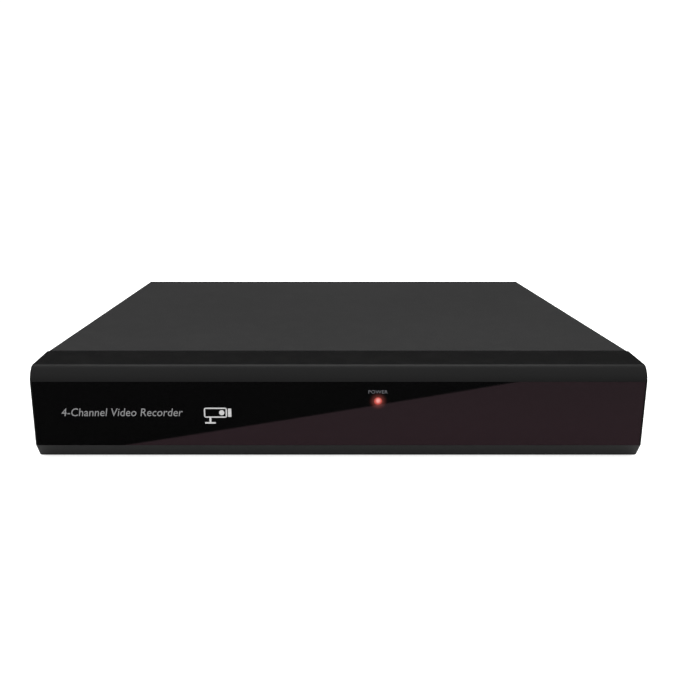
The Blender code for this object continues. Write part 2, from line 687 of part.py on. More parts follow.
def build_tray(materials, root):
    """The folded tray: a floor, front and rear walls, low side walls with a tab for the fan,
    standoffs for the main board and bosses for the disk drive."""
    bm = bmesh.new()
    add_box(bm, (-TRAY_HALF, TRAY_FRONT, FOOT_HEIGHT), (TRAY_HALF, WALL_Y, TRAY_TOP))
    tray = make_piece("base_tray", bm, materials["zinc_steel"], root)

    over = TRAY_TOP + TRAY_SHEET
    fold = TRAY_INNER_FRONT + TRAY_FLANGE
    hollow = bmesh.new()
    outline = [
        (TRAY_INNER_FRONT, TRAY_FLOOR),
        (TRAY_INNER_REAR, TRAY_FLOOR),
        (TRAY_INNER_REAR, over),
        (fold, over),
        (fold, TRAY_TOP - TRAY_SHEET),
        (TRAY_INNER_FRONT, TRAY_TOP - TRAY_SHEET),
    ]
    add_prism(hollow, outline, "X", -TRAY_INNER_HALF, TRAY_INNER_HALF)
    cut(tray, hollow, "hollow")

    sides = bmesh.new()
    rim = FOOT_HEIGHT + TRAY_SIDE_HEIGHT
    tab_top = FAN_Z + FAN_SIZE / 2 + TRAY_SHEET
    tab_front, tab_rear = FAN_Y - FAN_TAB_WIDTH / 2, FAN_Y + FAN_TAB_WIDTH / 2
    inner, outer = TRAY_INNER_HALF - TRAY_SHEET / 2, TRAY_HALF + TRAY_SHEET
    left = [(TRAY_INNER_FRONT, rim), (TRAY_INNER_REAR, rim)]
    left += [(TRAY_INNER_REAR, over), (TRAY_INNER_FRONT, over)]
    add_prism(sides, left, "X", -outer, -inner)
    right = [(TRAY_INNER_FRONT, rim), (tab_front, rim), (tab_front, tab_top)]
    right += [(tab_rear, tab_top), (tab_rear, rim), (TRAY_INNER_REAR, rim)]
    right += [(TRAY_INNER_REAR, over), (TRAY_INNER_FRONT, over)]
    add_prism(sides, right, "X", inner, outer)
    cut(tray, sides, "low_sides")

    raised = bmesh.new()
    for x, y in board_screw_places():
        start, end = TRAY_FLOOR - TRAY_SHEET / 2, TRAY_FLOOR + STANDOFF_HEIGHT
        add_cylinder(raised, (x, y), STANDOFF_RADIUS, "Z", start, end, 16)
    for x, y in drive_screw_places():
        start, end = TRAY_FLOOR - TRAY_SHEET / 2, TRAY_FLOOR + DRIVE_LIFT - GAP
        add_cylinder(raised, (x, y), DRIVE_BOSS_RADIUS, "Z", start, end, 16)
    unite(tray, raised, "bosses")

    holes = bmesh.new()
    below, above = FOOT_HEIGHT - TRAY_SHEET, TRAY_FLOOR + STANDOFF_HEIGHT + TRAY_SHEET
    for x, y in board_screw_places() + drive_screw_places():
        add_cylinder(holes, (x, y), SCREW_HOLE, "Z", below, above, 10)
    for x, y in foot_places():
        add_cylinder(holes, (x, y), FOOT_PIN_RADIUS + GAP, "Z", below, above, 16)
    slot_wide, slot_long = FLOOR_VENT_SIZE
    first = -(FLOOR_VENT_COUNT - 1) / 2 * FLOOR_VENT_PITCH
    for index in range(FLOOR_VENT_COUNT):
        place = (first + index * FLOOR_VENT_PITCH, BOARD_Y, FOOT_HEIGHT)
        add_block(holes, place, (slot_wide, slot_long, 4 * TRAY_SHEET))
    cut(tray, holes, "floor_holes")

    openings = bmesh.new()
    for outline in socket_openings():
        add_prism(openings, outline, "Y", TRAY_INNER_REAR - TRAY_SHEET, WALL_Y + TRAY_SHEET)
    for x in (-REAR_SCREW_SPACING, 0, REAR_SCREW_SPACING):
        start, end = TRAY_INNER_REAR - TRAY_SHEET, WALL_Y + TRAY_SHEET
        add_cylinder(openings, (x, REAR_SCREW_Z), SCREW_HOLE, "Y", start, end, 10)
    start, end = TRAY_FRONT - TRAY_SHEET, TRAY_INNER_FRONT + TRAY_SHEET
    for x in (-HOOK_SPACING, 0, HOOK_SPACING):
        for level in hook_levels():
            low, high = level - GAP, level + HOOK_THICKNESS + GAP
            half_hook = HOOK_WIDTH / 2 + GAP
            add_box(openings, (x - half_hook, start, low), (x + half_hook, end, high))
    add_cylinder(openings, PANEL_CABLE_HOLE, PANEL_CABLE_DIAMETER, "Y", start, end, 16)
    for side in (-1, 1):
        ends = sorted((side * (TRAY_INNER_HALF - TRAY_SHEET), side * (TRAY_HALF + TRAY_SHEET)))
        for y in SIDE_SCREW_YS:
            add_cylinder(openings, (y, SIDE_SCREW_Z), SCREW_HOLE, "X", *ends, 10)
    fan_start, fan_end = TRAY_INNER_HALF - TRAY_SHEET, TRAY_HALF + TRAY_SHEET
    add_cylinder(openings, (FAN_Y, FAN_Z), FAN_BORE_RADIUS, "X", fan_start, fan_end, SMOOTH)
    cut(tray, openings, "wall_openings")


def hook_levels():
    """The undersides of the upper and lower hooks' tongues."""
    return (CAVITY_TOP - 2 * HOOK_THICKNESS, TRAY_FLOOR + HOOK_THICKNESS)


def board_screw_places():
    across = BOARD_WIDTH / 2 - BOARD_SCREW_INSET
    along = BOARD_DEPTH / 2 - BOARD_SCREW_INSET
    return [(x, BOARD_Y + y) for x in (-across, across) for y in (-along, along)]


def drive_screw_places():
    across = DRIVE_SCREW_ACROSS / 2
    return [
        (DRIVE_X + DRIVE_LENGTH / 2 - from_end, DRIVE_Y + side * across)
        for from_end in DRIVE_SCREW_FROM_END
        for side in (-1, 1)
    ]


def foot_places():
    x = TRAY_HALF - FOOT_INSET_X
    return [(s * x, y) for y in (TRAY_FRONT + FOOT_INSET_Y, WALL_Y - FOOT_INSET_Y) for s in (-1, 1)]


def build_cover(materials, root):
    """The cover: one sheet folded down at both sides, with a lip at the rear, side vents and
    sunken screw seats."""
    half, inner = COVER_HALF, COVER_HALF - COVER_SHEET
    near = 1e-6
    bm = bmesh.new()
    add_box(bm, (-half, COVER_FRONT, COVER_LOW), (half, Y_REAR, HEIGHT))

    def top_side_fold(a, b):
        along = abs(a.y - b.y) > near
        return along and min(a.z, b.z) > HEIGHT - near

    bevel_edges(bm, COVER_BEND, 2, top_side_fold)
    cover = make_piece("top_cover", bm, materials["painted_steel"], root)

    hollow = bmesh.new()
    front, low = COVER_FRONT - 0.001, COVER_LOW - 0.001
    lip, roof = HEIGHT - COVER_LIP, HEIGHT - COVER_SHEET
    outline = [(front, low), (Y_REAR + 0.001, low), (Y_REAR + 0.001, lip)]
    outline += [(Y_REAR - COVER_SHEET, lip), (Y_REAR - COVER_SHEET, roof), (front, roof)]
    add_prism(hollow, outline, "X", -inner, inner)
    cut(cover, hollow, "hollow")

    seats = bmesh.new()
    dishes = bmesh.new()
    seat_low = half - DIMPLE_DEPTH - DIMPLE_WALL
    for side in (-1, 1):
        for y in SIDE_SCREW_YS:
            centre = (y, SIDE_SCREW_Z)
            wide = DIMPLE_RADIUS + DIMPLE_WALL
            ends = sorted((side * seat_low, side * (half - COVER_SHEET / 2)))
            add_cylinder(seats, centre, wide, "X", *ends)
            ends = sorted((side * (half - DIMPLE_DEPTH), side * (half + 0.001)))
            add_cylinder(dishes, centre, DIMPLE_RADIUS, "X", *ends)
    unite(cover, seats, "screw_seats")
    cut(cover, dishes, "screw_dishes")

    holes = bmesh.new()
    for side in (-1, 1):
        for y in SIDE_SCREW_YS:
            ends = sorted((side * (seat_low - 0.001), side * half))
            add_cylinder(holes, (y, SIDE_SCREW_Z), SCREW_HOLE, "X", *ends, 10)
        middle = side * (half - COVER_SHEET / 2)
        first = VENT_Y - (VENT_COUNT - 1) / 2 * VENT_PITCH
        for index in range(VENT_COUNT):
            place = (middle, first + index * VENT_PITCH, (VENT_LOW + VENT_HIGH) / 2)
            size = (4 * COVER_SHEET, VENT_WIDTH, VENT_HIGH - VENT_LOW)
            add_block(holes, place, size)
    for x in (-REAR_SCREW_SPACING, 0, REAR_SCREW_SPACING):
        start, end = Y_REAR - 2 * COVER_SHEET, Y_REAR + COVER_SHEET
        add_cylinder(holes, (x, REAR_SCREW_Z), SCREW_HOLE, "Y", start, end, 10)
    cut(cover, holes, "holes_and_vents")


def build_feet(materials, root):
    """Rubber feet, each with a pin pressed through the tray's floor."""
    top = FOOT_HEIGHT - GAP
    above = TRAY_FLOOR + GAP
    bm = bmesh.new()
    profile = [
        (0, 0),
        (FOOT_RADIUS * 0.84, 0),
        (FOOT_RADIUS, FOOT_HEIGHT * 0.2),
        (FOOT_RADIUS * 0.94, top),
        (FOOT_PIN_RADIUS, top),
        (FOOT_PIN_RADIUS, above),
        (FOOT_PIN_RADIUS * 1.3, above),
        (FOOT_PIN_RADIUS * 0.8, above + 0.001),
        (0, above + 0.001),
    ]
    add_turned(bm, profile, "Z")
    mesh = mesh_of("foot", bm)
    for number, (x, y) in enumerate(foot_places(), start=1):
        make_piece(f"foot_{number}", mesh, materials["rubber"], root, (x, y, 0))


def screw_mesh(name, length):
    """A pan-head screw along +Z with its head's seat at the origin and a crossed recess."""
    bm = bmesh.new()
    profile = [
        (0, -SCREW_HEAD),
        (SCREW_HEAD_RADIUS * 0.8, -SCREW_HEAD),
        (SCREW_HEAD_RADIUS, -SCREW_HEAD * 0.4),
        (SCREW_HEAD_RADIUS, 0),
        (SCREW_RADIUS, 0),
        (SCREW_RADIUS, length),
        (0, length),
    ]
    add_turned(bm, profile, "Z", sides=10)
    body = make_piece(name, bm, None, None)
    cross = bmesh.new()
    arm, wide = SCREW_RECESS_ARM, SCREW_RECESS_WIDTH / 2
    outline = [
        (wide, wide), (wide, arm), (-wide, arm), (-wide, wide), (-arm, wide), (-arm, -wide),
        (-wide, -wide), (-wide, -arm), (wide, -arm), (wide, -wide), (arm, -wide), (arm, wide),
    ]
    add_prism(cross, outline, "Z", -2 * SCREW_HEAD, SCREW_RECESS - SCREW_HEAD)
    cut(body, cross, "recess")
    mesh = settle(body)
    mesh.materials.clear()
    bpy.data.objects.remove(body)
    return mesh


def point_along(piece, direction):
    """Turns a piece made along +Z to lie along a direction."""
    turn = Vector((0, 0, 1)).rotation_difference(Vector(direction))
    piece.rotation_euler = turn.to_euler()


def build_case_screws(materials, root):
    """Three screws through the cover's rear lip and two through each of its sides."""
    rear = screw_mesh("rear_cover_screw", REAR_SCREW_LENGTH)
    spots = (-REAR_SCREW_SPACING, 0, REAR_SCREW_SPACING)
    for number, x in enumerate(spots, start=1):
        place = (x, Y_REAR + GAP, REAR_SCREW_Z)
        name = f"rear_cover_screw_{number}"
        screw = make_piece(name, rear, materials["black_steel"], root, place)
        point_along(screw, (0, -1, 0))
    side_mesh = screw_mesh("side_screw", SIDE_SCREW_LENGTH)
    spots = [(side, y) for side in (-1, 1) for y in SIDE_SCREW_YS]
    for number, (side, y) in enumerate(spots, start=1):
        place = (side * (COVER_HALF - DIMPLE_DEPTH + GAP), y, SIDE_SCREW_Z)
        name = f"side_screw_{number}"
        screw = make_piece(name, side_mesh, materials["black_steel"], root, place)
        point_along(screw, (-side, 0, 0))


# ---------------------------------------------------------------- main board and its sockets
def build_main_board(materials, root):
    bm = bmesh.new()
    half_wide, half_deep = BOARD_WIDTH / 2, BOARD_DEPTH / 2
    low, high = (-half_wide, BOARD_Y - half_deep, BOARD_LOW), (half_wide, BOARD_REAR, BOARD_TOP)
    add_box(bm, low, high)
    board = make_piece("main_board", bm, materials["circuit_board"], root)
    holes = bmesh.new()
    for place in board_screw_places():
        add_cylinder(holes, place, SCREW_HOLE, "Z", BOARD_LOW - 0.001, BOARD_TOP + 0.001, 10)
    cut(board, holes, "screw_holes")
    return make_frame("board_frame", root, (0, BOARD_Y, SOCKET_Z))


def build_video_jacks(materials, root):
    """Four bayonet jacks for camera cables, each with a nut on its neck outside the wall."""
    wide, deep, high = VIDEO_BLOCK
    block_rear = -TRAY_SHEET - GAP
    reach = Y_REAR + JACK_REACH - WALL_Y
    bm = bmesh.new()
    add_box(
        bm,
        (-wide / 2, block_rear - deep, -VIDEO_AXIS),
        (wide / 2, block_rear, high - VIDEO_AXIS),
    )
    jack = make_piece("video_jack", bm, materials["nickel"], root)
    barrel = bmesh.new()
    mouth = reach - 0.009
    profile = [
        (0, block_rear - deep / 2),
        (VIDEO_NECK_RADIUS, block_rear - deep / 2),
        (VIDEO_NECK_RADIUS, VIDEO_NECK_LENGTH),
        (VIDEO_BARREL_RADIUS, VIDEO_NECK_LENGTH),
        (VIDEO_BARREL_RADIUS, reach),
        (VIDEO_BORE_RADIUS, reach),
        (VIDEO_BORE_RADIUS, mouth),
        (VIDEO_POST_RADIUS, mouth),
        (VIDEO_POST_RADIUS, reach - 0.0012),
        (VIDEO_CONTACT_RADIUS, reach - 0.0012),
        (VIDEO_CONTACT_RADIUS, reach - 0.005),
        (0, reach - 0.005),
    ]
    add_turned(barrel, profile, "Y")
    unite(jack, barrel, "barrel")
    lugs = bmesh.new()
    start = (VIDEO_BARREL_RADIUS + VIDEO_BORE_RADIUS) / 2
    for side in (-1, 1):
        ends = sorted((side * start, side * VIDEO_LUG_REACH))
        add_cylinder(lugs, (reach - 0.0045, 0), VIDEO_LUG_RADIUS, "X", *ends, 10)
    unite(jack, lugs, "lugs")
    jack_mesh = settle(jack)
    bpy.data.objects.remove(jack)

    hexagon = bmesh.new()
    radius = NUT_ACROSS_FLATS / math.sqrt(3)
    add_prism(hexagon, circle(radius, 6, turn=math.pi / 6), "Y", 0, NUT_THICKNESS)
    nut = make_piece("video_jack_nut", hexagon, materials["nickel"], root)
    hole = bmesh.new()
    ends = (-NUT_THICKNESS, 2 * NUT_THICKNESS)
    add_cylinder(hole, (0, 0), VIDEO_NECK_RADIUS + GAP, "Y", *ends)
    cut(nut, hole, "hole")
    nut_mesh = settle(nut)
    bpy.data.objects.remove(nut)

    for index in range(4):
        x, z = VIDEO_FIRST_X - index * VIDEO_PITCH, SOCKET_Z + VIDEO_AXIS
        number = index + 1
        make_piece(f"video_jack_{number}", jack_mesh, None, root, (x, WALL_Y, z))
        make_piece(f"video_jack_nut_{number}", nut_mesh, None, root, (x, WALL_Y + GAP, z))


def build_audio_jacks(materials, root):
    """Two stacked sound jacks in one block."""
    wide, deep, high = AUDIO_BLOCK
    rear = TRAY_INNER_REAR - GAP
    bm = bmesh.new()
    low = (AUDIO_X - wide / 2, rear - deep, SOCKET_Z)
    add_box(bm, low, (AUDIO_X + wide / 2, rear, SOCKET_Z + high))
    block = make_piece("audio_jack_block", bm, materials["black_plastic"], root)
    barrels = bmesh.new()
    tip = rear + AUDIO_BARREL_LENGTH
    profile = [
        (0, rear - deep / 2),
        (AUDIO_BARREL_RADIUS, rear - deep / 2),
        (AUDIO_BARREL_RADIUS, tip),
        (AUDIO_PIN_RADIUS, tip),
        (AUDIO_PIN_RADIUS, tip - 0.007),
        (0, tip - 0.007),
    ]
    for level in AUDIO_AXES:
        add_turned(barrels, profile, "Y", (AUDIO_X, 0, SOCKET_Z + level))
    unite(block, barrels, "barrels")


def build_monitor_socket(materials, root):
    """The D-shaped monitor socket and its two hexagonal jackscrews."""
    wide, deep, high = MONITOR_BLOCK
    rear = TRAY_INNER_REAR - GAP
    middle = SOCKET_Z + high / 2
    bm = bmesh.new()
    low = (MONITOR_X - wide / 2, rear - deep, SOCKET_Z)
    add_box(bm, low, (MONITOR_X + wide / 2, rear, SOCKET_Z + high))
    block = make_piece("monitor_socket", bm, materials["blue_plastic"], root)
    shell = bmesh.new()
    outline = d_outline(*MONITOR_SHELL, (MONITOR_X, middle))
    add_prism(shell, outline, "Y", rear - deep / 2, WALL_Y + MONITOR_SHELL_REACH)
    unite(block, shell, "shell")
    holes = bmesh.new()
    spots = [MONITOR_X + side * MONITOR_SCREW_SPACING / 2 for side in (-1, 1)]
    depth = REAR_SCREW_LENGTH
    for x in spots:
        add_cylinder(holes, (x, middle), SCREW_HOLE, "Y", rear - depth, rear + 0.001, 10)
    cut(block, holes, "screw_holes")
    for number, x in enumerate(spots, start=1):
        bm = bmesh.new()
        radius = JACKSCREW_ACROSS_FLATS / math.sqrt(3)
        start = WALL_Y + GAP
        add_prism(bm, circle(radius, 6, (x, middle)), "Y", start, start + JACKSCREW_LENGTH)
        name = f"monitor_jackscrew_{number}"
        screw = make_piece(name, bm, materials["nickel"], root)
        shank = bmesh.new()
        start = rear - depth + GAP
        add_cylinder(shank, (x, middle), SCREW_RADIUS, "Y", start, WALL_Y + 0.001, 10)
        unite(screw, shank, "shank")
        bore = bmesh.new()
        tip = WALL_Y + GAP + JACKSCREW_LENGTH
        add_cylinder(bore, (x, middle), SCREW_RADIUS, "Y", tip - depth / 2, tip + 0.001, 10)
        cut(screw, bore, "bore")


def build_shell_socket(name, material, root, x, shell, openings, tongues):
    """A socket in a box-shaped shell: each opening is (low, high, half width, depth), and each
    tongue is (low, high, half width, length)."""
    wide, deep, high = shell
    rear = WALL_Y + SOCKET_PROUD
    bm = bmesh.new()
    add_box(bm, (x - wide / 2, rear - deep, SOCKET_Z), (x + wide / 2, rear, SOCKET_Z + high))
    socket = make_piece(name, bm, material, root)
    hollow = bmesh.new()
    for low, top, half, depth in openings:
        start = (x - half, rear - depth, SOCKET_Z + low)
        add_box(hollow, start, (x + half, rear + 0.001, SOCKET_Z + top))
    cut(socket, hollow, "openings")
    if tongues:
        blades = bmesh.new()
        for low, top, half, depth, root_depth in tongues:
            start = (x - half, rear - root_depth - 0.0005, SOCKET_Z + low)
            end = (x + half, rear - root_depth + depth, SOCKET_Z + top)
            add_box(blades, start, end)
        unite(socket, blades, "tongues")
    return socket


def centred(middle, height):
    return middle - height / 2, middle + height / 2


def build_sockets(materials, root):
    """The digital video, network, port and power sockets."""
    wide, deep, high = DIGITAL_OPENING
    t_wide, t_deep, t_high = DIGITAL_TONGUE
    middle = DIGITAL_SHELL[2] / 2
    build_shell_socket(
        "digital_video_socket", materials["zinc_steel"], root, DIGITAL_X, DIGITAL_SHELL,
        [(*centred(middle, high), wide / 2, deep)],
        [(*centred(middle, t_high), t_wide / 2, t_deep, deep)],
    )
    wide, deep, high = NETWORK_OPENING
    l_wide, l_deep, l_high = NETWORK_LATCH
    middle = NETWORK_SHELL[2] / 2
    low, top = centred(middle, high)
    network = build_shell_socket(
        "network_socket", materials["zinc_steel"], root, NETWORK_X, NETWORK_SHELL,
        [(low, top, wide / 2, deep)], [],
    )
    latch = bmesh.new()
    rear = WALL_Y + SOCKET_PROUD
    start = (NETWORK_X - l_wide / 2, rear - l_deep, SOCKET_Z + low - l_high)
    add_box(latch, start, (NETWORK_X + l_wide / 2, rear + 0.001, SOCKET_Z + low + l_high))
    cut(network, latch, "latch_slot")

    wide, deep, high = PORT_OPENING
    t_wide, t_deep, t_high = PORT_TONGUE
    build_shell_socket(
        "port_stack", materials["zinc_steel"], root, PORT_X, PORT_SHELL,
        [(*centred(row, high), wide / 2, deep) for row in PORT_ROWS],
        [(*centred(row, t_high), t_wide / 2, t_deep, deep) for row in PORT_ROWS],
    )

    wide, deep, high = POWER_SHELL
    bm = bmesh.new()
    start = (POWER_X - wide / 2, rear - deep, SOCKET_Z)
    add_box(bm, start, (POWER_X + wide / 2, rear, SOCKET_Z + high))
    socket = make_piece("power_socket", bm, materials["black_plastic"], root)
    bore = bmesh.new()
    mouth, end = rear - POWER_BORE_DEPTH, rear + 0.001
    profile = [
        (POWER_PIN_RADIUS, mouth), (POWER_BORE_RADIUS, mouth),
        (POWER_BORE_RADIUS, end), (POWER_PIN_RADIUS, end),
    ]
    add_turned(bore, profile, "Y", (POWER_X, 0, SOCKET_Z + POWER_AXIS), closed=True)
    cut(socket, bore, "bore")


def build_board_parts(materials, board):
    """The processor with its heat sink, the clock's coin cell, the buzzer and the headers. The
    board's frame is at its middle, on the level that parts stand on."""
    (x, y), (wide, deep, high) = PROCESSOR
    bm = bmesh.new()
    add_box(bm, (x - wide / 2, y - deep / 2, 0), (x + wide / 2, y + deep / 2, high))
    make_piece("processor", bm, materials["chip"], board)

    sink_wide, sink_deep, sink_high = HEAT_SINK
    bm = bmesh.new()
    base = high + GAP
    low = (x - sink_wide / 2, y - sink_deep / 2, base)
    add_box(bm, low, (x + sink_wide / 2, y + sink_deep / 2, base + sink_high))
    sink = make_piece("heat_sink", bm, materials["aluminium"], board)
    slots = bmesh.new()
    pitch = (sink_wide - HEAT_SINK_FIN) / HEAT_SINK_SLOTS
    for index in range(HEAT_SINK_SLOTS):
        start = x - sink_wide / 2 + HEAT_SINK_FIN + index * pitch
        low = (start, y - sink_deep, base + HEAT_SINK_BASE)
        high_corner = (start + pitch - HEAT_SINK_FIN, y + sink_deep, base + 2 * sink_high)
        add_box(slots, low, high_corner)
    cut(sink, slots, "slots")

    place = (*COIN_CELL_AT, 0)
    inner = COIN_CELL_RADIUS + GAP
    outer = inner + COIN_CELL_WALL
    rim = COIN_CELL_FLOOR + COIN_CELL_THICKNESS * 0.7
    bm = bmesh.new()
    profile = [(0, 0), (outer, 0), (outer, rim), (inner, rim)]
    profile += [(inner, COIN_CELL_FLOOR), (0, COIN_CELL_FLOOR)]
    add_turned(bm, profile, "Z", sides=24)
    make_piece("coin_cell_holder", bm, materials["black_plastic"], board, place)
    bm = bmesh.new()
    seat = COIN_CELL_FLOOR + GAP
    add_cylinder(bm, (0, 0), COIN_CELL_RADIUS, "Z", seat, seat + COIN_CELL_THICKNESS, 24)
    make_piece("coin_cell", bm, materials["nickel"], board, place)

    bm = bmesh.new()
    top = BUZZER_HEIGHT
    profile = [(0, 0), (BUZZER_RADIUS, 0), (BUZZER_RADIUS, top), (BUZZER_HOLE, top)]
    profile += [(BUZZER_HOLE, top * 0.6), (0, top * 0.6)]
    add_turned(bm, profile, "Z")
    make_piece("buzzer", bm, materials["black_plastic"], board, (*BUZZER_AT, 0))

    wide, deep, high = HEADER_SIZE
    for name, (x, y) in (
        ("disk_data_header", DATA_HEADER_AT),
        ("disk_power_header", POWER_HEADER_AT),
    ):
        bm = bmesh.new()
        add_box(bm, (-wide / 2, -deep / 2, 0), (wide / 2, deep / 2, high))
        header = make_piece(name, bm, materials["white_plastic"], board, (x, y, 0))
        well = bmesh.new()
        half_wide, half_deep = PLUG_SIZE[0] / 2 + GAP, PLUG_SIZE[1] / 2 + GAP
        floor = high - PLUG_DEPTH - GAP
        add_box(well, (-half_wide, -half_deep, floor), (half_wide, half_deep, 2 * high))
        cut(header, well, "well")


# ---------------------------------------------------------------- hard disk drive
def build_drive(materials, root):
    """A 3.5 inch drive screwed up from below. Its frame is on its underside, at its middle."""
    drive = make_frame("drive_frame", root, (DRIVE_X, DRIVE_Y, DRIVE_Z))
    half_long, half_wide = DRIVE_LENGTH / 2, DRIVE_WIDTH / 2
    case_top = DRIVE_HEIGHT - DRIVE_LID - GAP
    near = 1e-6

    def upright(a, b):
        return abs(a.z - b.z) > near

    bm = bmesh.new()
    add_box(bm, (-half_long, -half_wide, 0), (half_long, half_wide, case_top))
    bevel_edges(bm, 0.002, 2, upright)
    case = make_piece("drive_case", bm, materials["aluminium"], drive)

    disks = bmesh.new()
    radius = PLATTER_RADIUS + PLATTER_CLEAR
    above = 2 * DRIVE_HEIGHT
    add_cylinder(disks, SPINDLE.xy, radius, "Z", DRIVE_FLOOR, above, DISK_SIDES)
    cut(case, disks, "disk_well")
    arms = bmesh.new()
    sweep_low = PIVOT.y - ARM_LENGTH - 3 * ARM_ROOT
    low = (PIVOT.x - COIL_RADIUS - ARM_ROOT, sweep_low, DRIVE_FLOOR)
    add_box(arms, low, (PIVOT.x + MAGNET_REACH[1] + 0.002, PIVOT.y, above))
    cut(case, arms, "arm_well")
    motor = bmesh.new()
    swing = MAGNET_REACH[2] + 0.0015
    add_cylinder(motor, PIVOT.xy, swing, "Z", DRIVE_FLOOR, above, SMOOTH)
    cut(case, motor, "motor_well")

    under = bmesh.new()
    rail = half_wide - DRIVE_RAIL
    low = (-half_long + DRIVE_RAIL, -rail, -0.001)
    add_box(under, low, (half_long + 0.001, rail, DRIVE_RECESS))
    cut(case, under, "board_recess")
    socket_deep, socket_long, socket_high = DRIVE_SOCKET
    notch = bmesh.new()
    start = (half_long - socket_deep - GAP, DRIVE_SOCKET_Y - GAP, -0.001)
    end = (half_long + 0.001, DRIVE_SOCKET_Y + socket_long + GAP, socket_high + 2 * GAP)
    add_box(notch, start, end)
    cut(case, notch, "socket_notch")
    holes = bmesh.new()
    for from_end in DRIVE_SCREW_FROM_END:
        for side in (-1, 1):
            centre = (half_long - from_end, side * DRIVE_SCREW_ACROSS / 2)
            add_cylinder(holes, centre, SCREW_HOLE, "Z", -0.001, DRIVE_SCREW_DEPTH, 10)
    cut(case, holes, "screw_holes")

    bm = bmesh.new()
    inset = 0.0008
    low = (-half_long + inset, -half_wide + inset, DRIVE_HEIGHT - DRIVE_LID)
    add_box(bm, low, (half_long - inset, half_wide - inset, DRIVE_HEIGHT))
    bevel_edges(bm, 0.002, 2, upright)
    make_piece("drive_lid", bm, materials["aluminium"], drive)

    board_high = DRIVE_RECESS - GAP
    board_low = board_high - DRIVE_BOARD_THICKNESS
    inner_rail = rail - GAP
    bm = bmesh.new()
    start = (-half_long + DRIVE_RAIL + GAP, -inner_rail, board_low)
    add_box(bm, start, (half_long - 0.002, inner_rail, board_high))
    board = make_piece("drive_board", bm, materials["circuit_board"], drive)
    socket = bmesh.new()
    start = (half_long - socket_deep, DRIVE_SOCKET_Y, GAP)
    add_box(socket, start, (half_long, DRIVE_SOCKET_Y + socket_long, socket_high + GAP))
    unite(board, socket, "socket")

    build_platters(materials, drive)
    build_head_arm(materials, drive)
    build_magnet(materials, drive)

    mesh = screw_mesh("drive_screw", DRIVE_SCREW_DEPTH + DRIVE_LIFT + TRAY_SHEET - 2 * GAP)
    for number, (x, y) in enumerate(drive_screw_places(), start=1):
        place = (x, y, FOOT_HEIGHT - GAP)
        make_piece(f"drive_screw_{number}", mesh, materials["black_steel"], root, place)


def build_platters(materials, drive):
    """The disks and their hub, which turn together about the spindle."""
    low, high = PLATTER_LEVELS
    thick = PLATTER_THICKNESS
    base = DRIVE_FLOOR + 3 * GAP
    profile = [
        (0, base),
        (HUB_RADIUS, base),
        (HUB_RADIUS, low),
        (PLATTER_RADIUS, low),
        (PLATTER_RADIUS, low + thick),
        (HUB_RADIUS, low + thick),
        (HUB_RADIUS, high),
        (PLATTER_RADIUS, high),
        (PLATTER_RADIUS, high + thick),
        (HUB_RADIUS, high + thick),
        (HUB_RADIUS, HUB_TOP),
        (0, HUB_TOP),
    ]
    bm = bmesh.new()
    add_turned(bm, profile, "Z", sides=DISK_SIDES)
    make_piece("disk_platters", bm, materials["platter"], drive, SPINDLE)


def build_head_arm(materials, drive):
    """The arm with its coil, which swings about the pivot; it is parked off the disks."""
    frame = make_frame("head_arm_frame", drive, PIVOT)
    bm = bmesh.new()
    base = DRIVE_FLOOR + 3 * GAP
    add_cylinder(bm, (0, 0), PIVOT_RADIUS, "Z", base, PIVOT_TOP, 24)
    arm = make_piece("head_arm", bm, materials["aluminium"], frame)
    turn = Matrix.Rotation(math.radians(ARM_PARK_ANGLE), 4, "Z")
    blades = bmesh.new()
    outline = [
        (0, -ARM_ROOT), (ARM_LENGTH, -ARM_TIP), (ARM_LENGTH, ARM_TIP), (0, ARM_ROOT),
    ]
    for level in ARM_LEVELS:
        add_prism(blades, outline, "Z", level, level + ARM_THICKNESS)
    bmesh.ops.transform(blades, matrix=turn, verts=blades.verts)
    unite(arm, blades, "blades")
    coil = bmesh.new()
    outline = [
        (0, -PIVOT_RADIUS / 2), (-COIL_RADIUS, -COIL_HALF_WIDTH),
        (-COIL_RADIUS, COIL_HALF_WIDTH), (0, PIVOT_RADIUS / 2),
    ]
    add_prism(coil, outline, "Z", *COIL_LEVEL)
    bmesh.ops.transform(coil, matrix=turn, verts=coil.verts)
    unite(arm, coil, "coil")


def build_magnet(materials, drive):
    """Two magnet plates above and below the coil, joined by a wall behind it."""
    start, end = (math.radians(a) for a in MAGNET_ANGLES)
    steps = 8
    angles = [start + (end - start) * i / steps for i in range(steps + 1)]
    inner, gap_end, outer = MAGNET_REACH
    low, gap_low, gap_high, high = MAGNET_LEVELS

    def sector(near_radius, far_radius):
        ring = [(far_radius * math.cos(a), far_radius * math.sin(a)) for a in angles]
        ring += [(near_radius * math.cos(a), near_radius * math.sin(a)) for a in reversed(angles)]
        return ring

    bm = bmesh.new()
    add_prism(bm, sector(inner, outer), "Z", low, high)
    magnet = make_piece("drive_magnet", bm, materials["nickel"], drive, PIVOT)
    space = bmesh.new()
    spread = math.radians(4)
    angles = [angles[0] - spread, *angles[1:-1], angles[-1] + spread]
    add_prism(space, sector(inner / 2, gap_end), "Z", gap_low, gap_high)
    cut(magnet, space, "coil_gap")


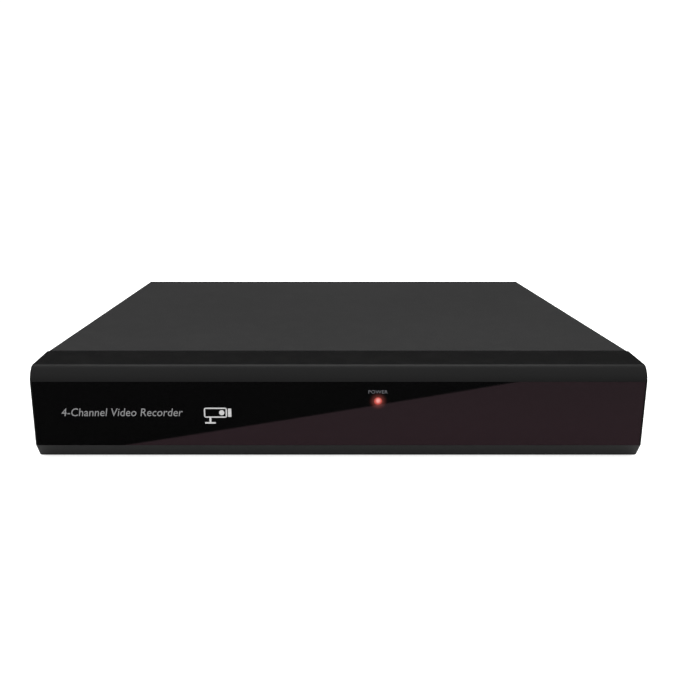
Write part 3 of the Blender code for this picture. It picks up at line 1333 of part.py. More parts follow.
# ---------------------------------------------------------------- fan
def build_fan(materials, root):
    """A small fan against the right-hand wall, blowing out along +X. Its frame is on its axis."""
    frame = make_frame("fan_axis", root, (FAN_X, FAN_Y, FAN_Z))
    half, deep = FAN_SIZE / 2, FAN_DEPTH / 2
    near = 1e-6
    bm = bmesh.new()
    add_box(bm, (-deep, -half, -half), (deep, half, half))
    bevel_edges(bm, 0.002, 2, lambda a, b: abs(a.x - b.x) > near)
    shroud = make_piece("fan_frame", bm, materials["black_plastic"], frame)
    bore = bmesh.new()
    add_cylinder(bore, (0, 0), FAN_BORE_RADIUS, "X", -2 * deep, 2 * deep, SMOOTH)
    spots = [(y, z) for y in (-1, 1) for z in (-1, 1)]
    for y, z in spots:
        centre = (y * FAN_SCREW_SPACING / 2, z * FAN_SCREW_SPACING / 2)
        add_cylinder(bore, centre, SCREW_HOLE * 0.8, "X", -2 * deep, 2 * deep, 10)
    cut(shroud, bore, "bore")
    arm_start = deep - FAN_DEPTH * 0.16
    inset = 0.0002
    spokes = bmesh.new()
    for index in range(3):
        spoke = bmesh.new()
        low = (arm_start + inset, FAN_HUB_RADIUS * 0.7, -0.0011)
        add_box(spoke, low, (deep - 2 * inset, FAN_BORE_RADIUS + 0.0004, 0.0011))
        spoke.transform(Matrix.Rotation(math.radians(90 + 120 * index), 4, "X"))
        mesh = mesh_of("spoke", spoke)
        spokes.from_mesh(mesh)
        bpy.data.meshes.remove(mesh)
    unite(shroud, spokes, "spokes")
    hub = bmesh.new()
    add_cylinder(hub, (0, 0), FAN_HUB_RADIUS, "X", arm_start, deep - inset)
    unite(shroud, hub, "hub")

    rotor = bmesh.new()
    start, end = -deep + 0.0008, arm_start - 0.0006
    profile = [
        (0, start), (FAN_HUB_RADIUS * 0.9, start), (FAN_HUB_RADIUS, start + 0.0006),
        (FAN_HUB_RADIUS, end), (0, end),
    ]
    add_turned(rotor, profile, "X", sides=24)
    wheel = make_piece("fan_rotor", rotor, materials["black_plastic"], frame)
    blades = bmesh.new()
    for index in range(FAN_BLADES):
        add_fan_blade(blades, 2 * math.pi * index / FAN_BLADES, start, end)
    unite(wheel, blades, "blades")


def add_fan_blade(bm, angle, start, end):
    """A twisted blade from inside the hub to the bore, 1 mm thick."""
    inner, tip = FAN_HUB_RADIUS * 0.85, FAN_BORE_RADIUS - FAN_TIP_CLEAR
    middle = (start + end) / 2
    half = (end - start) / 2 - 0.0006
    stations = []
    for radius, pitch in ((inner, 48), ((inner + tip) / 2, 38), (tip, 30)):
        lean = math.radians(pitch)
        reach = half / math.sin(lean)
        reach = min(reach, 0.0052)
        ring = []
        for along, across in ((-1, -1), (1, -1), (1, 1), (-1, 1)):
            x = middle + along * reach * math.sin(lean) + across * 0.0005 * math.cos(lean)
            swing = along * reach * math.cos(lean) - across * 0.0005 * math.sin(lean)
            turn = angle + swing / radius * 0.8
            place = (x, radius * math.cos(turn), radius * math.sin(turn))
            ring.append(bm.verts.new(place))
        stations.append(ring)
    for near_ring, far_ring in zip(stations, stations[1:]):
        for i in range(4):
            j = (i + 1) % 4
            bm.faces.new((near_ring[i], near_ring[j], far_ring[j], far_ring[i]))
    bm.faces.new(reversed(stations[0]))
    bm.faces.new(stations[-1])


# ---------------------------------------------------------------- cables inside the case
def rounded_path(points, radius, steps=4):
    """The points of a path with each corner replaced by a curve."""
    points = [Vector(p) for p in points]
    path = [points[0]]
    for before, corner, after in zip(points, points[1:], points[2:]):
        back, ahead = before - corner, after - corner
        reach = min(radius, back.length * 0.45, ahead.length * 0.45)
        start = corner + back.normalized() * reach
        end = corner + ahead.normalized() * reach
        for step in range(steps + 1):
            t = step / steps
            path.append(start * (1 - t) ** 2 + corner * (2 * t * (1 - t)) + end * t**2)
    path.append(points[-1])
    return path


def add_cord(bm, path, diameter, sides=8):
    """A round cord along a path, closed at both ends."""
    rings = []
    across = None
    for index, point in enumerate(path):
        before = path[max(index - 1, 0)]
        after = path[min(index + 1, len(path) - 1)]
        heading = (after - before).normalized()
        if across is None:
            across = heading.orthogonal().normalized()
        across = (across - heading * across.dot(heading)).normalized()
        up = heading.cross(across)
        ring = []
        for a, b in circle(diameter / 2, sides):
            ring.append(bm.verts.new(point + across * a + up * b))
        rings.append(ring)
    for near_ring, far_ring in zip(rings, rings[1:]):
        for i in range(sides):
            j = (i + 1) % sides
            bm.faces.new((near_ring[i], near_ring[j], far_ring[j], far_ring[i]))
    bm.faces.new(reversed(rings[0]))
    bm.faces.new(rings[-1])


def build_cable(name, material, root, points, radius, diameter, plugs):
    """A cord with its plugs; each plug is a box given by its low and high corners."""
    bm = bmesh.new()
    add_cord(bm, rounded_path(points, radius), diameter)
    cable = make_piece(name, bm, material, root)
    ends = bmesh.new()
    for low, high in plugs:
        add_box(ends, low, high)
    unite(cable, ends, "plugs")


def upright_plug(x, y, size, low):
    wide, deep, high = size
    return (x - wide / 2, y - deep / 2, low), (x + wide / 2, y + deep / 2, low + high)


def build_cables(materials, root):
    """The disk's data and power cables, the panel's cable and the fan's cable."""
    plug_low = SOCKET_Z + HEADER_SIZE[2] - PLUG_DEPTH
    plug_top = plug_low + PLUG_SIZE[2]
    drive_end = DRIVE_X + DRIVE_LENGTH / 2 + GAP
    long, wide, high = DRIVE_PLUG
    level = DRIVE_Z + GAP + DRIVE_SOCKET[2] / 2
    first = DRIVE_Y + DRIVE_SOCKET_Y + wide / 2
    second = DRIVE_Y + DRIVE_SOCKET_Y + DRIVE_SOCKET[1] - wide
    for name, material, y, header, diameter, out, wide_plug in (
        ("data_cable", "cable_red", first, DATA_HEADER_AT, DATA_CABLE_DIAMETER, 0.024, wide),
        (
            "drive_power_cable", "cable_black", second, POWER_HEADER_AT,
            POWER_CABLE_DIAMETER, 0.036, 1.6 * wide,
        ),
    ):
        x, head_y = header[0], BOARD_Y + header[1]
        over = plug_top + 0.008
        points = [
            (drive_end + long / 2, y, level),
            (drive_end + out, y, level),
            (drive_end + out + 0.004, y + 0.010, over - 0.004),
            (x, head_y - 0.014, over),
            (x, head_y, over),
            (x, head_y, plug_top - 0.002),
        ]
        at_drive = (drive_end, y - wide_plug / 2, level - high / 2)
        drive_plug = (at_drive, (drive_end + long, y + wide_plug / 2, level + high / 2))
        head_plug = upright_plug(x, head_y, PLUG_SIZE, plug_low)
        plugs = [drive_plug, head_plug]
        build_cable(name, materials[material], root, points, 0.008, diameter, plugs)

    x, y = PANEL_PLUG_AT[0], BOARD_Y + PANEL_PLUG_AT[1]
    low = SOCKET_Z + GAP
    hole_x, hole_z = PANEL_CABLE_HOLE
    start_y = LIGHT_BOARD_FRONT + LIGHT_BOARD_SIZE[1] + GAP
    plug_wide, plug_deep, plug_high = SMALL_PLUG
    front_plug = (
        (hole_x - plug_wide / 2, start_y, hole_z - plug_deep / 2),
        (hole_x + plug_wide / 2, start_y + 0.004, hole_z + plug_deep / 2),
    )
    points = [
        (hole_x, start_y + 0.002, hole_z),
        (hole_x, TRAY_INNER_FRONT + 0.012, hole_z),
        (hole_x, y - 0.012, hole_z + 0.002),
        (x, y, hole_z),
        (x, y, low + plug_high - 0.001),
    ]
    plugs = [front_plug, upright_plug(x, y, SMALL_PLUG, low)]
    thick = PANEL_CABLE_DIAMETER
    build_cable("panel_cable", materials["cable_black"], root, points, 0.008, thick, plugs)

    x, y = FAN_PLUG_AT[0], BOARD_Y + FAN_PLUG_AT[1]
    fan_rear = FAN_Y + FAN_SIZE / 2 + GAP
    points = [
        (FAN_X, fan_rear, FAN_Z - FAN_SIZE / 3),
        (FAN_X, fan_rear + 0.012, FAN_Z - FAN_SIZE / 3),
        (x, y, FAN_Z),
        (x, y, low + plug_high - 0.001),
    ]
    plugs = [upright_plug(x, y, SMALL_PLUG, low)]
    thick = FAN_CABLE_DIAMETER
    build_cable("fan_cable", materials["cable_black"], root, points, 0.006, thick, plugs)



# ---------------------------------------------------------------- the whole object
def clear_scene():
    for item in list(bpy.data.objects):
        bpy.data.objects.remove(item)


clear_scene()
materials = make_materials()
root = make_frame("recorder")
build_front_panel(materials, root)
build_power_light(materials, root)
build_tray(materials, root)
build_cover(materials, root)
build_feet(materials, root)
build_case_screws(materials, root)
board_frame = build_main_board(materials, root)
build_video_jacks(materials, root)
build_audio_jacks(materials, root)
build_monitor_socket(materials, root)
build_sockets(materials, root)
build_board_parts(materials, board_frame)
build_drive(materials, root)
build_fan(materials, root)
build_cables(materials, root)
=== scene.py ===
"""The look of a compact four-input video recorder: its folded steel case, black front panel,
rear sockets, circuit board, disk drive and fan, on a pale studio floor."""

import math

import bmesh
import bpy
from mathutils import Matrix, Vector


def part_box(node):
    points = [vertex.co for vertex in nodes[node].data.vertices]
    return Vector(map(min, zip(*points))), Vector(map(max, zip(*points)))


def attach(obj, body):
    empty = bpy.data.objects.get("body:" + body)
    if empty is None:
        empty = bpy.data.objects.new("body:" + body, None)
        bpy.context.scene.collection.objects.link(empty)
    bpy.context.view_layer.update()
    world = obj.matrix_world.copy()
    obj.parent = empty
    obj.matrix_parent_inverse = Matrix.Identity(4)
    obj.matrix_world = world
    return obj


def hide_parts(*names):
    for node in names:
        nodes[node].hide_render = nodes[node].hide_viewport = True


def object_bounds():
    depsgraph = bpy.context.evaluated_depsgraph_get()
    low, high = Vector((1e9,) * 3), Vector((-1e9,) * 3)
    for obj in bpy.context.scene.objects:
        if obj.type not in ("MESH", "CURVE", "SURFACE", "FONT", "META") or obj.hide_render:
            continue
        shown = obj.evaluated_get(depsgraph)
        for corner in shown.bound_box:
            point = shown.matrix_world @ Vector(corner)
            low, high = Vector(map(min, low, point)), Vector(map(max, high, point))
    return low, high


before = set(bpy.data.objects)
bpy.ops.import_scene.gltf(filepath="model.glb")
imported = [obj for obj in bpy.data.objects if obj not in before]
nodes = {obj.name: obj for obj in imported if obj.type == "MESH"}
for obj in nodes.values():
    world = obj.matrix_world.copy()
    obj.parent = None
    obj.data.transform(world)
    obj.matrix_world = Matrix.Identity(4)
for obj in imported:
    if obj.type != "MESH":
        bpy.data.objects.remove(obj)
cad_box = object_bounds()
scene = bpy.context.scene

# ------------------------------------------------------------------ camera, floor and light
# The camera stands square to the front, a hand's width above the cover, and looks a little
# down. The recorder is on a white table in a white room, under one wide soft lamp. Mirror rays
# see the floor painted dark just in front of the panel, a painted dark reflection, and a room
# that is dark low behind and bright overhead; both keep the black plastic deep.
for startup_object in ("Cube", "Light", "Camera"):
    if startup_object in bpy.data.objects:
        bpy.data.objects.remove(bpy.data.objects[startup_object])
scene.view_settings.view_transform = "Standard"
front_face = cad_box[0].y
floor_level = cad_box[0].z
cover_top = cad_box[1].z
camera_distance = 0.2968
camera_above_cover = 0.0797
camera_offset = -0.0053
camera_pitch = 14.0
camera_data = bpy.data.cameras.new("camera")
camera_data.lens = 38.62
camera_data.sensor_width = 36
camera_data.shift_x = 0.0346
camera = bpy.data.objects.new("camera", camera_data)
scene.collection.objects.link(camera)
camera.location = (camera_offset, front_face - camera_distance, cover_top + camera_above_cover)
camera.rotation_euler = (math.radians(90 - camera_pitch), 0, 0)
scene.camera = camera


def deselect_everything():
    for chosen in bpy.context.selected_objects:
        chosen.select_set(False)


def plain_shader(name, roughness, metallic=0.0, specular=0.5):
    """A new node material; returns the material, its node tree and its Principled shader."""
    made = bpy.data.materials.new(name)
    made.use_nodes = True
    shader = made.node_tree.nodes["Principled BSDF"]
    shader.inputs["Roughness"].default_value = roughness
    shader.inputs["Metallic"].default_value = metallic
    shader.inputs["Specular IOR Level"].default_value = specular
    return made, made.node_tree, shader


def link(tree, source, target):
    tree.links.new(source, target)


def ranged(tree, value, low, high, to_low, to_high):
    """A value mapped from one range to another, and kept inside it."""
    made = tree.nodes.new("ShaderNodeMapRange")
    link(tree, value, made.inputs["Value"])
    made.inputs["From Min"].default_value = low
    made.inputs["From Max"].default_value = high
    made.inputs["To Min"].default_value = to_low
    made.inputs["To Max"].default_value = to_high
    return made.outputs["Result"]


floor_size = 40
floor_gap = 0.0001
deselect_everything()
bpy.ops.mesh.primitive_plane_add(size=floor_size, location=(0, 0, floor_level - floor_gap))
floor = bpy.context.object
floor.name = "floor"
floor_paint, floor_tree, floor_shader = plain_shader("floor_white", 0.9, specular=0.0)
floor_place = floor_tree.nodes.new("ShaderNodeNewGeometry").outputs["Position"]
floor_axes = floor_tree.nodes.new("ShaderNodeSeparateXYZ")
link(floor_tree, floor_place, floor_axes.inputs["Vector"])
# Painted reflection: to mirror rays the floor is dark just in front of the panel, a painted dark
# reflection for the black face; to the camera it stays white.
painted_dark_reflection = ranged(
    floor_tree, floor_axes.outputs["Y"], front_face - 0.010, front_face - 0.003, 0.02, 0.80
)
floor_seen = floor_tree.nodes.new("ShaderNodeLightPath")
floor_tone = floor_tree.nodes.new("ShaderNodeMix")
floor_tone.inputs["A"].default_value = 0.96
link(floor_tree, floor_seen.outputs["Is Glossy Ray"], floor_tone.inputs["Factor"])
link(floor_tree, painted_dark_reflection, floor_tone.inputs["B"])
link(floor_tree, floor_tone.outputs["Result"], floor_shader.inputs["Base Color"])
link(floor_tree, floor_seen.outputs["Is Camera Ray"], floor_shader.inputs["Emission Color"])
floor_shader.inputs["Emission Strength"].default_value = 0.7
floor.data.materials.append(floor_paint)

world = bpy.data.worlds.new("studio")
scene.world = world
world.use_nodes = True
world_tree = world.node_tree
room = world_tree.nodes["Background"]
room.inputs["Color"].default_value = (1, 1, 1, 1)
room.inputs["Strength"].default_value = 1.1
room_way = world_tree.nodes.new("ShaderNodeSeparateXYZ")
room_direction = world_tree.nodes.new("ShaderNodeTexCoord").outputs["Generated"]
link(world_tree, room_direction, room_way.inputs["Vector"])
leaning = world_tree.nodes.new("ShaderNodeMath")
leaning.operation = "MULTIPLY_ADD"
leaning.inputs[1].default_value = -0.6
link(world_tree, room_way.outputs["Y"], leaning.inputs[0])
link(world_tree, room_way.outputs["Z"], leaning.inputs[2])
ceiling = ranged(world_tree, leaning.outputs["Value"], 0.60, 0.74, 0.006, 0.66)
mirrored = world_tree.nodes.new("ShaderNodeBackground")
link(world_tree, ceiling, mirrored.inputs["Strength"])
seen = world_tree.nodes.new("ShaderNodeLightPath")
room_or_mirrored = world_tree.nodes.new("ShaderNodeMixShader")
link(world_tree, seen.outputs["Is Glossy Ray"], room_or_mirrored.inputs["Fac"])
link(world_tree, room.outputs["Background"], room_or_mirrored.inputs[1])
link(world_tree, mirrored.outputs["Background"], room_or_mirrored.inputs[2])
world_output = world_tree.nodes["World Output"]
link(world_tree, room_or_mirrored.outputs["Shader"], world_output.inputs["Surface"])


def soft_lamp(name, place, width, depth, power):
    """A rectangular lamp of width by depth that points at the middle of the floor."""
    lamp_data = bpy.data.lights.new(name, "AREA")
    lamp_data.shape = "RECTANGLE"
    lamp_data.size = width
    lamp_data.size_y = depth
    lamp_data.energy = power
    lamp = bpy.data.objects.new(name, lamp_data)
    scene.collection.objects.link(lamp)
    lamp.location = place
    lamp.rotation_euler = (-Vector(place)).to_track_quat("-Z", "Y").to_euler()


soft_lamp("overhead_lamp", (0.0, 0.5, 1.5), 1.6, 0.8, 6.5)

# ------------------------------------------------------------------ base tray
# The tray is one sheet of galvanised steel, punched and folded on a press brake. Its zinc has
# faint spangles with soft edges, and a fine grain.
grain_group = bpy.data.node_groups.new("fine_grain", "ShaderNodeTree")
for socket_name, socket_default in (("Grain Scale", 900.0), ("Patch Scale", 25.0)):
    grain_socket = grain_group.interface.new_socket(
        socket_name, in_out="INPUT", socket_type="NodeSocketFloat"
    )
    grain_socket.default_value = socket_default
for socket_name in ("Grain", "Patches", "Dust"):
    grain_group.interface.new_socket(
        socket_name, in_out="OUTPUT", socket_type="NodeSocketFloat"
    )


def noise(tree, vector, scale, detail=3.0):
    """A noise texture; scale is a number or a socket."""
    made = tree.nodes.new("ShaderNodeTexNoise")
    link(tree, vector, made.inputs["Vector"])
    made.inputs["Detail"].default_value = detail
    if isinstance(scale, (int, float)):
        made.inputs["Scale"].default_value = scale
    else:
        link(tree, scale, made.inputs["Scale"])
    return made.outputs["Fac"]


def math_node(tree, operation, first, second):
    """A math node; each operand is a number or a socket."""
    made = tree.nodes.new("ShaderNodeMath")
    made.operation = operation
    for index, operand in enumerate((first, second)):
        if isinstance(operand, (int, float)):
            made.inputs[index].default_value = operand
        else:
            link(tree, operand, made.inputs[index])
    return made.outputs["Value"]


def mixed_colour(tree, share, first, second):
    """A colour between two; each is a triple or a socket, and share is a socket."""
    made = tree.nodes.new("ShaderNodeMix")
    made.data_type = "RGBA"
    link(tree, share, made.inputs["Factor"])
    for socket_name, colour in (("A", first), ("B", second)):
        target = next(s for s in made.inputs if s.name == socket_name and s.type == "RGBA")
        if isinstance(colour, tuple):
            target.default_value = (*colour, 1)
        else:
            link(tree, colour, target)
    return next(s for s in made.outputs if s.type == "RGBA")


grain_in = grain_group.nodes.new("NodeGroupInput")
grain_out = grain_group.nodes.new("NodeGroupOutput")
grain_place = grain_group.nodes.new("ShaderNodeTexCoord").outputs["Object"]
fine = noise(grain_group, grain_place, grain_in.outputs["Grain Scale"], 4.0)
patches = noise(grain_group, grain_place, grain_in.outputs["Patch Scale"], 2.0)
upward = grain_group.nodes.new("ShaderNodeSeparateXYZ")
facing = grain_group.nodes.new("ShaderNodeNewGeometry")
link(grain_group, facing.outputs["Normal"], upward.inputs["Vector"])
flat_top = ranged(grain_group, upward.outputs["Z"], 0.6, 1.0, 0.0, 1.0)
specks = ranged(grain_group, noise(grain_group, grain_place, 160.0, 6.0), 0.45, 0.75, 0.0, 1.0)
dusty = math_node(grain_group, "MULTIPLY", flat_top, specks)
link(grain_group, fine, grain_out.inputs["Grain"])
link(grain_group, patches, grain_out.inputs["Patches"])
link(grain_group, dusty, grain_out.inputs["Dust"])


def grained(name, usual_roughness, grain, patch_scale, metallic, specular, strength):
    """A material with fine bumps: grain is their scale and their depth in metres. Returns the
    material, its node tree, its shader and what the grain group gives."""
    made, tree, shader = plain_shader(name, usual_roughness, metallic, specular)
    variation = tree.nodes.new("ShaderNodeGroup")
    variation.node_tree = grain_group
    variation.inputs["Grain Scale"].default_value = grain[0]
    variation.inputs["Patch Scale"].default_value = patch_scale
    bump = tree.nodes.new("ShaderNodeBump")
    bump.inputs["Strength"].default_value = strength
    bump.inputs["Distance"].default_value = grain[1]
    link(tree, variation.outputs["Grain"], bump.inputs["Height"])
    link(tree, bump.outputs["Normal"], shader.inputs["Normal"])
    return made, tree, shader, variation.outputs


def surface(
    name, tones, roughness, grain, patch_scale=25.0, metallic=0.0, specular=0.5, dust=0.0
):
    """A material of two tones that change in soft patches. roughness is its lowest and highest,
    and grain is the scale and the depth in metres of its fine bumps."""
    made, tree, shader, given = grained(
        name, roughness[0], grain, patch_scale, metallic, specular, 0.5
    )
    colour = mixed_colour(tree, ranged(tree, given["Patches"], 0.35, 0.65, 0.0, 1.0), *tones)
    if dust:
        speck = math_node(tree, "MULTIPLY", given["Dust"], dust)
        colour = mixed_colour(tree, speck, colour, (0.32, 0.31, 0.29))
    link(tree, colour, shader.inputs["Base Color"])
    rough = ranged(tree, given["Patches"], 0.3, 0.7, *roughness)
    link(tree, rough, shader.inputs["Roughness"])
    return made


def coat(material, *names):
    """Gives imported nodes, which keep their shape, a finished material."""
    for node_name in names:
        nodes[node_name].material_slots[0].material = material


zinc = surface(
    "galvanised_steel", ((0.47, 0.48, 0.49), (0.52, 0.53, 0.53)), (0.38, 0.46),
    (420.0, 0.00002), patch_scale=90.0, metallic=1.0,
)
coat(zinc, "base_tray")

# ------------------------------------------------------------------ feet
# Four moulded rubber feet with a spigot that is pushed through the tray's floor. The underside
# is dished, and a groove runs round it. The rubber is soft, matt and a little dusty.
rubber = surface(
    "black_rubber", ((0.016, 0.016, 0.016), (0.030, 0.030, 0.029)), (0.75, 0.9),
    (700.0, 0.00008), patch_scale=60.0, specular=0.3, dust=0.25,
)


def select_in(piece, kind, wanted):
    """In edit mode, selects just the faces or edges that wanted says yes to."""
    bpy.context.tool_settings.mesh_select_mode = (False, kind == "edges", kind == "faces")
    bpy.ops.mesh.select_all(action="DESELECT")
    shape = bmesh.from_edit_mesh(piece.data)
    shape.normal_update()
    for element in getattr(shape, kind):
        if wanted(element):
            element.select_set(True)
    bmesh.update_edit_mesh(piece.data)


def middle_of(element):
    """The middle of a face or an edge."""
    corners = [vertex.co for vertex in element.verts]
    return sum(corners, Vector()) / len(corners)


def turned(name, rings, place, axis="Y", sides=48, tube=False):
    """A turned piece: a circle at place that is extruded from ring to ring along the axis. Each
    ring is a radius and a distance. A tube comes back to its first ring; else the ends close."""
    deselect_everything()
    along = {"X": Vector((1, 0, 0)), "Y": Vector((0, 1, 0)), "Z": Vector((0, 0, 1))}[axis]
    turn = {"X": (0, math.pi / 2, 0), "Y": (-math.pi / 2, 0, 0), "Z": (0, 0, 0)}[axis]
    start = Vector(place) + along * rings[0][1]
    bpy.ops.mesh.primitive_circle_add(
        vertices=sides, radius=rings[0][0], fill_type="NOTHING" if tube else "NGON",
        location=start, rotation=turn,
    )
    piece = bpy.context.object
    piece.name = name
    bpy.ops.object.transform_apply(location=True, rotation=True, scale=True)
    bpy.ops.object.mode_set(mode="EDIT")
    bpy.ops.mesh.select_all(action="SELECT")
    for (radius, distance), (next_radius, next_distance) in zip(rings, rings[1:]):
        step = along * (next_distance - distance)
        bpy.ops.mesh.extrude_region_move(TRANSFORM_OT_translate={"value": step})
        grow = next_radius / radius
        centre = Vector(place) + along * next_distance
        bpy.ops.transform.resize(value=(grow, grow, grow), center_override=centre)
    bpy.ops.mesh.select_all(action="SELECT")
    bpy.ops.mesh.remove_doubles(threshold=0.000001)
    bpy.ops.mesh.normals_make_consistent(inside=False)
    bpy.ops.object.mode_set(mode="OBJECT")
    return piece


def smooth(piece, angle=32):
    """Shades a piece smooth, crisp where it turns by more than the angle and true on flats."""
    deselect_everything()
    piece.select_set(True)
    bpy.context.view_layer.objects.active = piece
    bpy.ops.object.shade_smooth_by_angle(angle=math.radians(angle))
    flatten = piece.modifiers.new("flatten", "WEIGHTED_NORMAL")
    flatten.keep_sharp = True
    bpy.ops.object.modifier_apply(modifier="flatten")


def copied(piece, name, offset):
    """A copy of a finished piece with its own mesh, moved by an offset."""
    twin = piece.copy()
    twin.data = piece.data.copy()
    twin.name = name
    scene.collection.objects.link(twin)
    twin.data.transform(Matrix.Translation(offset))
    return twin


def middle_of_node(node_name):
    low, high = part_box(node_name)
    return (low + high) / 2


foot_middle = middle_of_node("foot_1")
foot_radius = 0.0075
foot_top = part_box("foot_1")[1].z
foot_rings = (
    (0.0022, 0.0006), (0.0040, 0.0006), (0.0046, 0.0), (0.0055, 0.0), (0.0057, 0.0004),
    (0.0061, 0.0004), (0.0063, 0.0), (0.0070, 0.0), (0.0074, 0.0004), (foot_radius, 0.0008),
    (foot_radius, 0.0032), (0.0072, 0.0037), (0.0066, 0.0042), (0.0025, 0.0042),
    (0.0023, foot_top - 0.0005), (0.0016, foot_top),
)
foot_place = (foot_middle.x, foot_middle.y, floor_level)
foot = turned("rubber_foot_1", foot_rings, foot_place, axis="Z")
foot.data.materials.append(rubber)
smooth(foot)
for number in (1, 2, 3, 4):
    here = middle_of_node(f"foot_{number}")
    if number > 1:
        offset = (here.x - foot_middle.x, here.y - foot_middle.y, 0)
        this_foot = copied(foot, f"rubber_foot_{number}", offset)
    else:
        this_foot = foot
    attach(this_foot, "recorder")
    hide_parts(f"foot_{number}")

# ------------------------------------------------------------------ main board
# The board is 1.6 mm glass-fibre laminate under green solder mask, with copper tracks and gold
# pads. It is screwed to posts on the tray's floor, and its parts are soldered to its top.
near = 0.00001
solder_mask, mask_tree, mask_shader = plain_shader("green_solder_mask", 0.35, specular=0.45)
mask_place = mask_tree.nodes.new("ShaderNodeTexCoord").outputs["Object"]
tracks = mask_tree.nodes.new("ShaderNodeTexBrick")
tracks.inputs["Scale"].default_value = 260.0
tracks.inputs["Mortar Size"].default_value = 0.035
tracks.inputs["Color1"].default_value = (0.010, 0.085, 0.030, 1)
tracks.inputs["Color2"].default_value = (0.012, 0.100, 0.036, 1)
tracks.inputs["Mortar"].default_value = (0.030, 0.180, 0.070, 1)
link(mask_tree, mask_place, tracks.inputs["Vector"])
pads = mask_tree.nodes.new("ShaderNodeTexVoronoi")
pads.inputs["Scale"].default_value = 300.0
link(mask_tree, mask_place, pads.inputs["Vector"])
pad_share = ranged(mask_tree, pads.outputs["Distance"], 0.10, 0.16, 1.0, 0.0)
mask_colour = mixed_colour(mask_tree, pad_share, tracks.outputs["Color"], (0.55, 0.38, 0.14))
link(mask_tree, mask_colour, mask_shader.inputs["Base Color"])
mask_bump = mask_tree.nodes.new("ShaderNodeBump")
mask_bump.inputs["Strength"].default_value = 0.4
mask_bump.inputs["Distance"].default_value = 0.00004
link(mask_tree, tracks.outputs["Fac"], mask_bump.inputs["Height"])
link(mask_tree, mask_bump.outputs["Normal"], mask_shader.inputs["Normal"])
coat(solder_mask, "main_board", "light_board", "drive_board")
chip_resin = surface(
    "chip_resin", ((0.018, 0.018, 0.019), (0.030, 0.030, 0.031)), (0.5, 0.7),
    (900.0, 0.00002), patch_scale=120.0, specular=0.4,
)
aluminium = surface(
    "satin_aluminium", ((0.58, 0.59, 0.60), (0.68, 0.69, 0.70)), (0.30, 0.45),
    (350.0, 0.00003), patch_scale=70.0, metallic=1.0,
)
nickel = surface(
    "nickel_plate", ((0.60, 0.58, 0.54), (0.72, 0.70, 0.66)), (0.15, 0.28),
    (700.0, 0.00001), patch_scale=260.0, metallic=1.0,
)
black_moulding = surface(
    "black_moulding", ((0.010, 0.010, 0.011), (0.020, 0.020, 0.021)), (0.42, 0.60),
    (1100.0, 0.00002), patch_scale=80.0, specular=0.4,
)
ivory_nylon = surface(
    "ivory_nylon", ((0.62, 0.60, 0.53), (0.72, 0.70, 0.63)), (0.40, 0.55),
    (900.0, 0.00002), patch_scale=80.0, specular=0.45,
)
coat(chip_resin, "processor")
coat(aluminium, "heat_sink")
coat(nickel, "coin_cell")
coat(black_moulding, "coin_cell_holder", "buzzer", "remote_receiver")
coat(ivory_nylon, "disk_data_header", "disk_power_header")


def block(name, low, high):
    """A block between two corners, with its place in its mesh."""
    deselect_everything()
    middle = (Vector(low) + Vector(high)) / 2
    size = Vector(high) - Vector(low)
    bpy.ops.mesh.primitive_cube_add(size=1, location=middle, scale=size)
    piece = bpy.context.object
    piece.name = name
    bpy.ops.object.transform_apply(location=True, rotation=True, scale=True)
    return piece


def apply_to(piece, kind, **settings):
    """Adds a modifier with its settings and applies it at once."""
    added = piece.modifiers.new("shaping", kind)
    for setting, value in settings.items():
        setattr(added, setting, value)
    deselect_everything()
    bpy.context.view_layer.objects.active = piece
    bpy.ops.object.modifier_apply(modifier="shaping")


def joined(pieces):
    """Several loose pieces made one object."""
    deselect_everything()
    for piece in pieces:
        piece.select_set(True)
    bpy.context.view_layer.objects.active = pieces[0]
    if len(pieces) > 1:
        bpy.ops.object.join()
    return pieces[0]


def merged(piece, reach=0.000001):
    """Merges the corners of a piece that are closer than the reach."""
    deselect_everything()
    bpy.context.view_layer.objects.active = piece
    bpy.ops.object.mode_set(mode="EDIT")
    bpy.ops.mesh.select_all(action="SELECT")
    bpy.ops.mesh.remove_doubles(threshold=reach)
    bpy.ops.mesh.dissolve_degenerate(threshold=reach)
    bpy.ops.object.mode_set(mode="OBJECT")


def cut_with(piece, tools, operation="DIFFERENCE"):
    """Cuts a piece with tools, or welds them on, and takes the tools away."""
    tool = joined(tools)
    apply_to(piece, "BOOLEAN", operation=operation, object=tool, solver="EXACT")
    bpy.data.objects.remove(tool)
    merged(piece)


def rounded(piece, width, segments=2, angle=30):
    """Rounds every edge of a piece that turns by more than the angle."""
    apply_to(
        piece, "BEVEL", width=width, segments=segments, limit_method="ANGLE",
        angle_limit=math.radians(angle),
    )


board_low, board_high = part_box("main_board")
board_middle = (board_low + board_high) / 2
can_places = ((0.052, 0.022), (0.064, 0.022), (-0.030, 0.012), (0.105, 0.040))
can_radius = 0.0032
can_height = 0.0085
can_rings = (
    (can_radius * 0.94, 0.0), (can_radius, 0.0003), (can_radius, 0.0012),
    (can_radius * 0.9, 0.0015), (can_radius, 0.0018), (can_radius, can_height - 0.0004),
    (can_radius * 0.92, can_height), (can_radius * 0.6, can_height),
    (can_radius * 0.55, can_height - 0.00015),
)
can_place = Vector((board_middle.x, board_low.y, board_high.z + 0.0001))
first_can = turned("capacitor_1", can_rings, can_place, axis="Z", sides=32)
first_can.data.materials.append(aluminium)
smooth(first_can)
for number, (right, behind) in enumerate(can_places, start=1):
    can = copied(first_can, f"board_capacitor_{number}", (right, behind, 0))
    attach(can, "recorder")
bpy.data.objects.remove(first_can)

